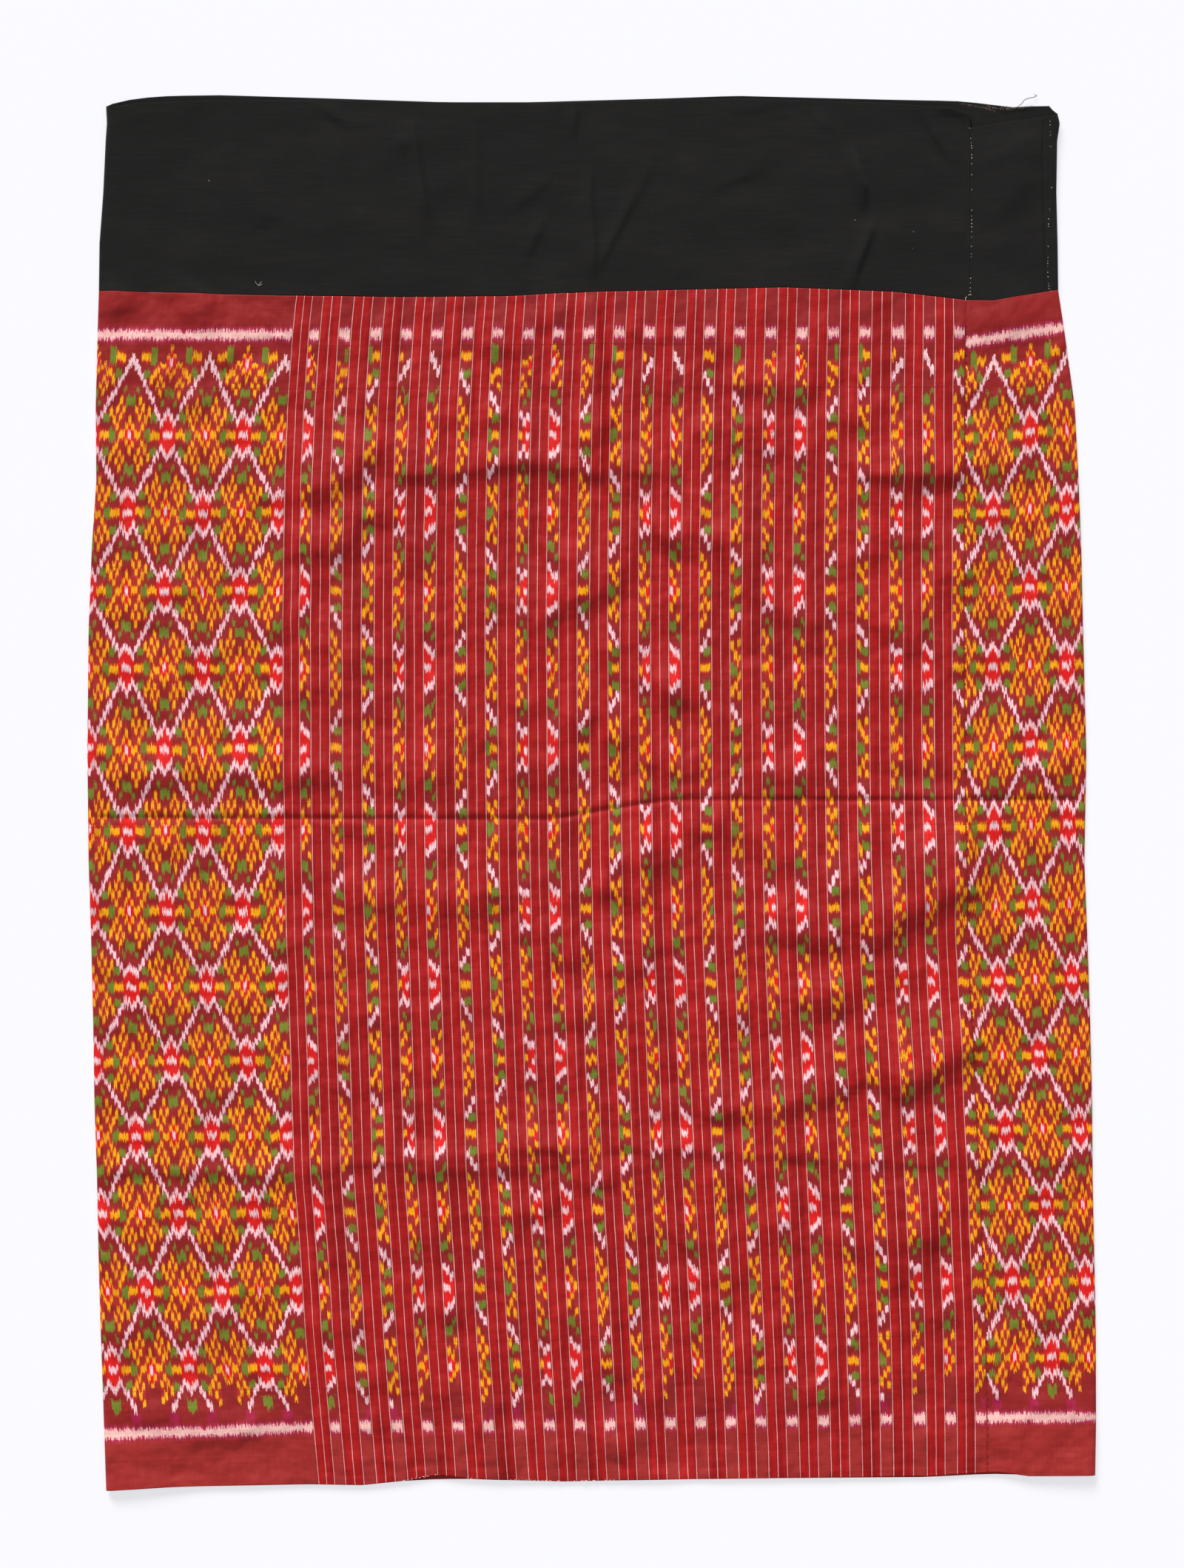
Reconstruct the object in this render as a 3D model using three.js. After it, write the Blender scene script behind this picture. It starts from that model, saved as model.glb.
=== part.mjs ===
// Ikat tube skirt of weft-patterned silk with a black cotton waistband, laid flat on a surface, front on back.
// Millimetres. +Z is up off the surface and +Y runs up the skirt, towards the waist.
// The origin is on the surface, under the middle of the skirt's box.

import * as THREE from "three";

// Driving dimensions
const WALL = 1.0;
const SEAM_GAP = 0.3;
const LAYER_GAP = 1.3;
const CLOSEST_LAYERS = 0.4;
const FOLD_GAP = 2.4;
const CORNER_LIFT = 4.5;
const CORNER_REACH = 62;
const CENTRE_FOLD_DEPTH = 0.9;
const CENTRE_FOLD_HALF_WIDTH = 7;

// How finely the cloth is divided
const FRONT_SPANS = 20;
const BACK_SPANS = 10;
const FOLD_SPANS = 4;
const ROWS_ABOVE_CENTRE_FOLD = 12;
const ROWS_BELOW_CENTRE_FOLD = 15;
const BAND_ROWS = 6;

// The right panel's columns, as shares of the way from the cloth's seam to the right fold
const INSERT_LEFT = 0.05;
const INSERT_RIGHT = 0.885;
const PANEL_SPANS = 3;

// Where the side folds and the front seam lie, going down the skirt
const SIDES = [
  { y: 546, left: -380.5, seam: 293, right: 361 },
  { y: 524, left: -379.5, seam: 293, right: 366.5 },
  { y: 510, left: -380.5, seam: 293, right: 364.5 },
  { y: 470, left: -382.5, seam: 293, right: 364 },
  { y: 430, left: -385.5, seam: 293, right: 365 },
  { y: 393, left: -386, seam: 293, right: 365.5 },
  { y: 360, left: -387, seam: 293, right: 370.5 },
  { y: 302, left: -388.5, seam: 292.5, right: 378.5 },
  { y: 244, left: -388, seam: 292.5, right: 381.5 },
  { y: 192, left: -391.5, seam: 292, right: 383.5 },
  { y: 128, left: -394, seam: 292, right: 385 },
  { y: 31, left: -395, seam: 292.5, right: 387.5 },
  { y: -55, left: -394, seam: 293.5, right: 386 },
  { y: -117, left: -392, seam: 295, right: 388.5 },
  { y: -178, left: -390.5, seam: 298, right: 390.5 },
  { y: -240, left: -389.5, seam: 301, right: 392 },
  { y: -301, left: -387.5, seam: 304, right: 392.5 },
  { y: -375, left: -386, seam: 307, right: 394 },
  { y: -424, left: -384.5, seam: 309, right: 395 },
  { y: -492, left: -382, seam: 310, right: 395 },
  { y: -546, left: -380, seam: 310, right: 394 },
];

// The waistband's raw top edge, on the front and on the back layer
const TOP_EDGE = [
  { x: -381, front: 535, back: 538.5 },
  { x: -357, front: 539, back: 544 },
  { x: -330, front: 540.5, back: 546 },
  { x: -290, front: 542, back: 546.5 },
  { x: -206, front: 542.5, back: 544 },
  { x: -116, front: 540.5, back: 541 },
  { x: -47, front: 540, back: 541 },
  { x: 58, front: 542.5, back: 544 },
  { x: 113, front: 543.5, back: 546 },
  { x: 232, front: 540, back: 543 },
  { x: 284, front: 536, back: 542 },
  { x: 297, front: 531, back: 541 },
  { x: 330, front: 530, back: 537 },
  { x: 358, front: 529, back: 538.5 },
  { x: 366, front: 530, back: 532 },
];

// The top edge of the short insert, which is turned over lower down than the rest of the band
const INSERT_TOP = [
  { x: 296, front: 520.5, back: 520.5 },
  { x: 330, front: 526, back: 526 },
  { x: 358, front: 529, back: 529 },
];

// The seam between the silk and the waistband, on the front and on the back layer
const WAIST_SEAM = [
  { x: -386, front: 392.7, back: 392.7 },
  { x: -290, front: 390.3, back: 391 },
  { x: -243, front: 389.2, back: 391 },
  { x: -150, front: 388, back: 391 },
  { x: -70, front: 388.6, back: 391 },
  { x: 0, front: 392, back: 391.5 },
  { x: 151, front: 395.6, back: 392 },
  { x: 239, front: 392, back: 392 },
  { x: 293, front: 385.7, back: 391 },
  { x: 314, front: 385.1, back: 391 },
  { x: 348, front: 390.9, back: 392 },
  { x: 366, front: 393.8, back: 393.8 },
];

// The hem, on the front and on the back layer
const HEM = [
  { x: -381, front: -546.3, back: -546.3 },
  { x: -328, front: -543.5, back: -544 },
  { x: -220, front: -541.7, back: -542 },
  { x: -180, front: -542.3, back: -541 },
  { x: -146, front: -538.8, back: -539.5 },
  { x: -120, front: -534.2, back: -538 },
  { x: -93, front: -537.5, back: -538 },
  { x: -23, front: -539.5, back: -538.5 },
  { x: 58, front: -538, back: -538 },
  { x: 261, front: -535.3, back: -536.5 },
  { x: 300, front: -533, back: -534.5 },
  { x: 318, front: -532, back: -534 },
  { x: 342, front: -534.8, back: -534.8 },
  { x: 394, front: -534.2, back: -534.2 },
];

// The line on which the skirt was folded across its middle for keeping
const CENTRE_FOLD = [
  { x: -395, y: -20 },
  { x: -30, y: -21 },
  { x: 10, y: -14 },
  { x: 60, y: -6 },
  { x: 388, y: -6 },
];

// Soft folds in the front layer: each runs from one end to the other and rises or sinks across its width
const FRONT_FOLDS = [
  { name: "upper_left_slant", x1: -225, y1: 215, x2: -140, y2: 285, width: 26, rise: 2.2 },
  { name: "upper_ripple", x1: -170, y1: 262, x2: 70, y2: 266, width: 24, rise: 2.6 },
  { name: "upper_right_ripple", x1: 195, y1: 256, x2: 300, y2: 256, width: 20, rise: 2.0 },
  { name: "upper_right_slant", x1: 35, y1: 215, x2: 190, y2: 135, width: 28, rise: 2.0 },
  { name: "upright_tuck", x1: 5, y1: 380, x2: 8, y2: 240, width: 22, rise: 2.2 },
  { name: "left_ripple", x1: -385, y1: 12, x2: -110, y2: 22, width: 24, rise: 2.4 },
  { name: "middle_rise", x1: -20, y1: -70, x2: 120, y2: -28, width: 24, rise: 2.2 },
  { name: "lower_left_ripple", x1: -205, y1: -82, x2: -60, y2: -84, width: 26, rise: 2.4 },
  { name: "right_slant", x1: 130, y1: -122, x2: 315, y2: -70, width: 28, rise: 3.2 },
  { name: "lower_right_slant", x1: 90, y1: -265, x2: 310, y2: -195, width: 28, rise: 3.0 },
  { name: "long_low_ripple", x1: -385, y1: -290, x2: 390, y2: -278, width: 22, rise: 1.6 },
  { name: "hem_slant", x1: -110, y1: -460, x2: -60, y2: -540, width: 22, rise: 2.2 },
  { name: "hem_right", x1: 20, y1: -450, x2: 90, y2: -425, width: 24, rise: 2.0 },
  { name: "band_left_crease", x1: -140, y1: 535, x2: -125, y2: 445, width: 16, rise: 1.4 },
  { name: "band_right_crease", x1: 206, y1: 510, x2: 200, y2: 395, width: 18, rise: 1.6 },
];

const SILK = new THREE.MeshStandardMaterial({ color: 0x9a2c2e, roughness: 0.55, metalness: 0 });
const COTTON = new THREE.MeshStandardMaterial({ color: 0x242322, roughness: 0.9, metalness: 0 });

const { lerp, smoothstep } = THREE.MathUtils;

// Reads a table at a place between two of its rows, which run up or down in the key column
function readTable(rows, key, at, column) {
  const ordered = rows[0][key] < rows[rows.length - 1][key] ? rows : [...rows].reverse();
  const above = ordered.findIndex((row) => row[key] > at);
  if (above < 0) return ordered[ordered.length - 1][column];
  if (above === 0) return ordered[0][column];
  const low = ordered[above - 1];
  const high = ordered[above];
  return lerp(low[column], high[column], (at - low[key]) / (high[key] - low[key]));
}

const side = (y, column) => readTable(SIDES, "y", y, column);
const centreFold = (x) => readTable(CENTRE_FOLD, "x", x, "y");

// How high one soft fold raises the front layer at a point
function foldRise(fold, x, y) {
  const along = new THREE.Vector2(fold.x2 - fold.x1, fold.y2 - fold.y1);
  const length = along.length();
  along.divideScalar(length);
  const away = new THREE.Vector2(x - fold.x1, y - fold.y1);
  const distanceAlong = away.dot(along);
  const distanceAcross = away.cross(along);
  const endFade = fold.width * 2;
  const rising = smoothstep(distanceAlong, -endFade, endFade);
  const falling = 1 - smoothstep(distanceAlong, length - endFade, length + endFade);
  return fold.rise * rising * falling * Math.exp(-((distanceAcross / fold.width) ** 2));
}

// How much both side folds and the front layer stand up at the four corners
function cornerLift(x, y) {
  const rim = y > 0 ? readTable(TOP_EDGE, "x", x, "back") : readTable(HEM, "x", x, "back");
  const fromSide = Math.min(x - side(y, "left"), side(y, "right") - x);
  const fromRim = Math.abs(y - rim);
  return CORNER_LIFT * Math.exp(-((fromSide / CORNER_REACH) ** 2) - (fromRim / CORNER_REACH) ** 2);
}

// The clear height between the back layer and the front layer
function layerGap(x, y) {
  const fromSide = Math.min(x - side(y, "left"), side(y, "right") - x);
  const nearSide = Math.exp(-((fromSide / CORNER_REACH) ** 2));
  const folds = FRONT_FOLDS.reduce((sum, fold) => sum + foldRise(fold, x, y), 0);
  const fromCentreFold = (y - centreFold(x)) / CENTRE_FOLD_HALF_WIDTH;
  const centre = CENTRE_FOLD_DEPTH * Math.exp(-(fromCentreFold ** 2));
  const loose = LAYER_GAP + (folds - centre) * (1 - nearSide);
  return Math.max(CLOSEST_LAYERS, lerp(loose, FOLD_GAP, nearSide) + cornerLift(x, y));
}

const foldGap = (y, column) => FOLD_GAP + cornerLift(side(y, column), y);
const foldRadius = (y, column) => WALL + foldGap(y, column) / 2;

// The columns that a piece is made of, going round the skirt: the front's left panel from the left fold to the
// seam, its right panel from there to the right fold, the right fold, the back from right to left, the left fold
function column(part, share) {
  return { part, share };
}

const steps = (count, make) => Array.from({ length: count + 1 }, (_, i) => make(i / count));

const leftPanel = steps(FRONT_SPANS, (share) => column("leftPanel", share));
const insertShares = steps(PANEL_SPANS, (share) => lerp(INSERT_LEFT, INSERT_RIGHT, share));
const insertPanel = insertShares.map((share) => column("rightPanel", share));
const rightEdge = [column("rightPanel", 1)];
const rightFold = steps(FOLD_SPANS, (share) => column("rightFold", share)).slice(1, -1);
const back = steps(BACK_SPANS, (share) => column("back", share));
const leftFold = steps(FOLD_SPANS, (share) => column("leftFold", share)).slice(1, -1);

// The outer and inner point of one column, y up the skirt
function wallPoints(place, y) {
  const left = side(y, "left") + foldRadius(y, "left");
  const right = side(y, "right") - foldRadius(y, "right");
  const seam = side(y, "seam");
  if (place.part === "leftFold" || place.part === "rightFold") {
    const isLeft = place.part === "leftFold";
    const centre = isLeft ? left : right;
    const radius = foldRadius(y, isLeft ? "left" : "right");
    const turn = Math.PI * place.share;
    const across = Math.sin(turn) * (isLeft ? -1 : 1);
    const upward = Math.cos(turn) * (isLeft ? -1 : 1);
    const at = (r) => new THREE.Vector3(centre + across * r, y, radius + upward * r);
    return [at(radius), at(radius - WALL)];
  }
  if (place.part === "back") {
    const x = lerp(right, left, place.share);
    return [new THREE.Vector3(x, y, 0), new THREE.Vector3(x, y, WALL)];
  }
  const onLeft = place.part === "leftPanel";
  const x = onLeft ? lerp(left, seam, place.share) : lerp(seam, right, place.share);
  const atFold = place.share === (onLeft ? 0 : 1);
  const gap = atFold ? foldGap(y, onLeft ? "left" : "right") : layerGap(x, y);
  return [new THREE.Vector3(x, y, WALL * 2 + gap), new THREE.Vector3(x, y, WALL + gap)];
}

// How far a column is on the back layer: 0 on the front, 1 on the back, and between them round a side fold
function backShare(place) {
  if (place.part === "rightFold") return place.share;
  if (place.part === "leftFold") return 1 - place.share;
  return place.part === "back" ? 1 : 0;
}

// The height of a rim, such as the hem, in one column
function rimHeight(table, place) {
  const nominalY = table[0].front;
  const x = wallPoints(place, nominalY)[0].x;
  return lerp(readTable(table, "x", x, "front"), readTable(table, "x", x, "back"), backShare(place));
}

// The heights of the silk's rows in one column: even steps down to the centre fold, and from there to the hem
function silkRows(place) {
  const top = rimHeight(WAIST_SEAM, place) - SEAM_GAP / 2;
  const bottom = rimHeight(HEM, place);
  const foldY = centreFold(wallPoints(place, 0)[0].x);
  const foldTop = foldY + CENTRE_FOLD_HALF_WIDTH;
  const foldBottom = foldY - CENTRE_FOLD_HALF_WIDTH;
  return [
    ...steps(ROWS_ABOVE_CENTRE_FOLD, (share) => lerp(top, foldTop, share)),
    foldY,
    ...steps(ROWS_BELOW_CENTRE_FOLD, (share) => lerp(foldBottom, bottom, share)),
  ];
}

// The heights of the waistband's rows in one column, under its own top edge
function bandRows(place, topEdge = TOP_EDGE) {
  const bottom = rimHeight(WAIST_SEAM, place) + SEAM_GAP / 2;
  const top = rimHeight(topEdge, place);
  return steps(BAND_ROWS, (share) => lerp(top, bottom, share));
}

// A closed wall of cloth over the given columns, with its first and last column set back for the seam's gap
function clothWall(name, material, columns, rowsOf) {
  const end = columns.length - 1;
  const setBacks = { 0: SEAM_GAP / 2, [end]: -SEAM_GAP / 2 };
  const grid = columns.map((place, index) => rowsOf(place).map((y) => {
    const points = wallPoints(place, y);
    for (const point of points) point.x += setBacks[index] ?? 0;
    return points;
  }));
  const rowCount = grid[0].length;
  const positions = grid.flat(2).flatMap((point) => [point.x, point.y, Math.max(0, point.z)]);
  const vertex = (col, row, inner) => (col * rowCount + row) * 2 + inner;
  const faces = [];
  const quad = (a, b, c, d) => faces.push(a, b, c, a, c, d);
  for (let col = 0; col < columns.length - 1; col += 1) {
    for (let row = 0; row < rowCount - 1; row += 1) {
      quad(vertex(col, row, 0), vertex(col, row + 1, 0), vertex(col + 1, row + 1, 0), vertex(col + 1, row, 0));
      quad(vertex(col, row, 1), vertex(col + 1, row, 1), vertex(col + 1, row + 1, 1), vertex(col, row + 1, 1));
    }
    const last = rowCount - 1;
    quad(vertex(col, 0, 0), vertex(col + 1, 0, 0), vertex(col + 1, 0, 1), vertex(col, 0, 1));
    quad(vertex(col, last, 0), vertex(col, last, 1), vertex(col + 1, last, 1), vertex(col + 1, last, 0));
  }
  for (let row = 0; row < rowCount - 1; row += 1) {
    quad(vertex(0, row, 0), vertex(0, row, 1), vertex(0, row + 1, 1), vertex(0, row + 1, 0));
    quad(vertex(end, row, 0), vertex(end, row + 1, 0), vertex(end, row + 1, 1), vertex(end, row, 1));
  }
  const geometry = new THREE.BufferGeometry();
  geometry.setAttribute("position", new THREE.Float32BufferAttribute(positions, 3));
  geometry.setIndex(faces);
  geometry.computeVertexNormals();
  const mesh = new THREE.Mesh(geometry, material);
  mesh.name = name;
  return mesh;
}

// The silk goes round from the right side of its seam to the left side of it
const silkColumns = [
  column("rightPanel", 0), ...insertPanel, ...rightEdge, ...rightFold, ...back, ...leftFold, ...leftPanel,
];

// The waistband goes round from the insert's right stitch line to its left one
const bandColumns = [
  column("rightPanel", INSERT_RIGHT), ...rightEdge, ...rightFold, ...back, ...leftFold, ...leftPanel,
  column("rightPanel", INSERT_LEFT),
];

const insertRows = (place) => bandRows(place, INSERT_TOP);

const skirt = new THREE.Group();
skirt.add(clothWall("ikat_cloth", SILK, silkColumns, silkRows));
skirt.add(clothWall("waistband", COTTON, bandColumns, bandRows));
skirt.add(clothWall("waistband_insert", COTTON, insertPanel, insertRows));

export default skirt;
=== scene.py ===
# Ikat tube skirt of weft-patterned silk with a black cotton waistband, laid flat and seen from above.
# Metres, in the part's own frame: +Z up off the surface, +Y up the skirt, the origin under its middle.

import bpy
import math
import numpy as np
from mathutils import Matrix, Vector


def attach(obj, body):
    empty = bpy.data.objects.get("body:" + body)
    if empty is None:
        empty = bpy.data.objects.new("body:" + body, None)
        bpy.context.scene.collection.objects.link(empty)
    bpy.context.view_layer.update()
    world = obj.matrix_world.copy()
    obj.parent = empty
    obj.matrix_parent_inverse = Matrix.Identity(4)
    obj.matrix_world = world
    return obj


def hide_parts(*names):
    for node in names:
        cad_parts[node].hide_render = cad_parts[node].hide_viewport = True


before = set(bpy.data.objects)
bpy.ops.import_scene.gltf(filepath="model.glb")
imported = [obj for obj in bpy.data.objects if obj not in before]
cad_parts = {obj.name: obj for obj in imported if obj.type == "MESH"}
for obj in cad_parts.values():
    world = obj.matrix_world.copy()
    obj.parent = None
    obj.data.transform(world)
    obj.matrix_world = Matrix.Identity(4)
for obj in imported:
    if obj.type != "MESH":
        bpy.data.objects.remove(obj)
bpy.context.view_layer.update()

MM = 0.001

# The photograph's frame and the real size of one of its pixels place the camera and a few small threads
PHOTO_WIDTH, PHOTO_HEIGHT = 1600, 2119
PIXEL = 0.58 * MM
PHOTO_CENTRE_X, PHOTO_CENTRE_Y = 799.5, 1071.0


def from_photo(x, y):
    """A point of the photograph on the surface that the skirt lies on."""
    return (x - PHOTO_CENTRE_X) * PIXEL, (PHOTO_CENTRE_Y - y) * PIXEL


# The cloth's driving sizes, which are the part's own except for a thickness nearer to the real one
SOLID_WALL = 1.0 * MM
CLOTH_THICKNESS = 0.55 * MM
LAYER_GAP = 1.3 * MM
FOLD_GAP = 2.4 * MM
CORNER_LIFT = 4.5 * MM
CORNER_REACH = 62 * MM
INSERT_LEFT, INSERT_RIGHT = 0.05, 0.885
SEAM_GAP = 0.3 * MM

# The woven design: a column of the ikat is a bundle of weft yarns, and a row is half of the pattern's drop.
# The bundles lie a little wider to the left of the stripes than to the right of the seam.
COLUMN = 2.44 * MM
LEFT_COLUMN, RIGHT_COLUMN = 2.472 * MM, 2.40 * MM
ROW = 61 * MM
STRIPE_PERIOD = 23.95 * MM
STRIPE_COUNT = 22
STRIPES_WIDTH = STRIPE_PERIOD * STRIPE_COUNT
LATTICE_PHASE, PANEL_PHASE = 13.75, -21.2
COLUMNS_ON_THE_BACK = 16 * 24

# Where each stripe period has a thin white line, at both sides of two plain stripes, and its narrow ikat band
LINE_PLACES = (0.0, 0.296, 0.592)
IKAT_BAND_START, IKAT_BAND_END, IKAT_BAND_COLUMNS = 0.616, 0.954, 3.0
IKAT_BAND_MARGIN = 0.006


def table(columns, rows):
    """A short table in millimetres with named columns, as metres."""
    return {name: np.array(values) * MM for name, values in zip(columns.split(), zip(*rows))}


def read(rows, key, at, column):
    """One column of a table, at a place between its rows."""
    order = np.argsort(rows[key])
    return np.interp(at, rows[key][order], rows[column][order])


SIDES = table("y left lattice seam right", [
    (546, -380.5, -230.5, 293, 361),
    (524, -379.5, -230.5, 293, 366.5),
    (510, -380.5, -230.5, 293, 364.5),
    (470, -382.5, -230.5, 293, 364),
    (430, -385.5, -230.5, 293, 365),
    (393, -386, -230.5, 293, 365.5),
    (360, -387, -234, 293, 370.5),
    (302, -388.5, -238, 292.5, 378.5),
    (244, -388, -240, 292.5, 381.5),
    (192, -391.5, -241, 292, 383.5),
    (128, -394, -241.5, 292, 385),
    (31, -395, -241, 292.5, 387.5),
    (-55, -394, -240, 293.5, 386),
    (-117, -392, -238.5, 295, 388.5),
    (-178, -390.5, -236.5, 298, 390.5),
    (-240, -389.5, -234.5, 301, 392),
    (-301, -387.5, -232.5, 304, 392.5),
    (-375, -386, -227, 307, 394),
    (-424, -384.5, -224, 309, 395),
    (-492, -382, -218, 310, 395),
    (-546, -380, -213, 310, 394),
])

TOP_EDGE = table("x front back", [
    (-381, 535, 538.5),
    (-357, 539, 544),
    (-330, 540.5, 546),
    (-290, 542, 546.5),
    (-206, 542.5, 544),
    (-116, 540.5, 541),
    (-47, 540, 541),
    (58, 542.5, 544),
    (113, 543.5, 546),
    (232, 540, 543),
    (284, 536, 542),
    (297, 531, 541),
    (330, 530, 537),
    (358, 529, 538.5),
    (366, 530, 532),
])

INSERT_TOP = table("x front back", [
    (296, 520.5, 520.5),
    (330, 526, 526),
    (358, 529, 529),
])

WAIST_SEAM = table("x front back", [
    (-386, 392.7, 392.7),
    (-290, 390.3, 391),
    (-243, 389.2, 391),
    (-150, 388, 391),
    (-70, 388.6, 391),
    (0, 392, 391.5),
    (151, 395.6, 392),
    (239, 392, 392),
    (293, 385.7, 391),
    (314, 385.1, 391),
    (348, 390.9, 392),
    (366, 393.8, 393.8),
])

HEM = table("x front back", [
    (-381, -546.3, -546.3),
    (-328, -543.5, -544),
    (-220, -541.7, -542),
    (-180, -542.3, -541),
    (-146, -538.8, -539.5),
    (-120, -534.2, -538),
    (-93, -537.5, -538),
    (-23, -539.5, -538.5),
    (58, -538, -538),
    (261, -535.3, -536.5),
    (300, -533, -534.5),
    (318, -532, -534),
    (342, -534.8, -534.8),
    (394, -534.2, -534.2),
])

CENTRE_FOLD = table("x y", [(-395, -20), (-30, -21), (10, -14), (60, -6), (388, -6)])

# Where the ikat's bands lie between the lattice and the seam, as shares of the way, since the beat was uneven
BAND_NUMBER = (0, 1, 3, 7, 11, 15, 19, 20, 22)
BAND_SHARE = (0, 0.0400, 0.1335, 0.3145, 0.4945, 0.6735, 0.8600, 0.910, 1)

# How the pattern's rows run across the skirt: each numbered row's height at four places and both seam edges
PATTERN_ROW = (-1.284, 0, 3, 6, 9, 12, 12.82, 13.6)
PATTERN_HEIGHTS = table("left lattice middle seam_left seam_right right", [
    (358.4, 358.4, 360.2, 360.2, 352.6, 364.2),
    (280.1, 279, 279.6, 280.1, 277.2, 284.8),
    (97.2, 97.2, 97.2, 97.8, 97.8, 100.9),
    (-93.7, -93.1, -91, -89.9, -89.9, -86.4),
    (-269.1, -268.5, -266.2, -264.5, -264.5, -262.7),
    (-451.8, -451, -446.6, -443.7, -443.1, -441.4),
    (-502.3, -497.1, -494.2, -489.5, -489.2, -488.4),
    (-546.9, -541.7, -539.4, -534.8, -534.2, -534.2),
])

# Soft folds of the front layer, as in the part: both ends, a width and a rise. Less than half of the rise is
# kept, since the creases below make the rest.
SOFT_FOLDS = {
    "upper_left_slant": (-225, 215, -140, 285, 26, 2.2),
    "upper_ripple": (-170, 262, 70, 266, 24, 2.6),
    "upper_right_ripple": (195, 256, 300, 256, 20, 2.0),
    "upper_right_slant": (35, 215, 190, 135, 28, 2.0),
    "upright_tuck": (5, 380, 8, 240, 22, 2.2),
    "left_ripple": (-385, 12, -110, 22, 24, 2.4),
    "middle_rise": (-20, -70, 120, -28, 24, 2.2),
    "lower_left_ripple": (-205, -82, -60, -84, 26, 2.4),
    "right_slant": (130, -122, 315, -70, 28, 3.2),
    "lower_right_slant": (90, -265, 310, -195, 28, 3.0),
    "long_low_ripple": (-385, -290, 390, -278, 22, 1.6),
    "hem_slant": (-110, -460, -60, -540, 22, 2.2),
    "hem_right": (20, -450, 90, -425, 24, 2.0),
    "band_left_crease": (-140, 535, -125, 445, 16, 1.4),
    "band_right_crease": (206, 510, 200, 395, 18, 1.6),
}
SOFT_FOLD_SHARE = 0.45

# How close the thin cloth's front layer may come to the back one, against the solids' own gap
LOWEST_GAP = -0.35 * MM
GAP_SOFTNESS = 0.3 * MM
BACK_ROOM = 0.4 * MM

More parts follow.
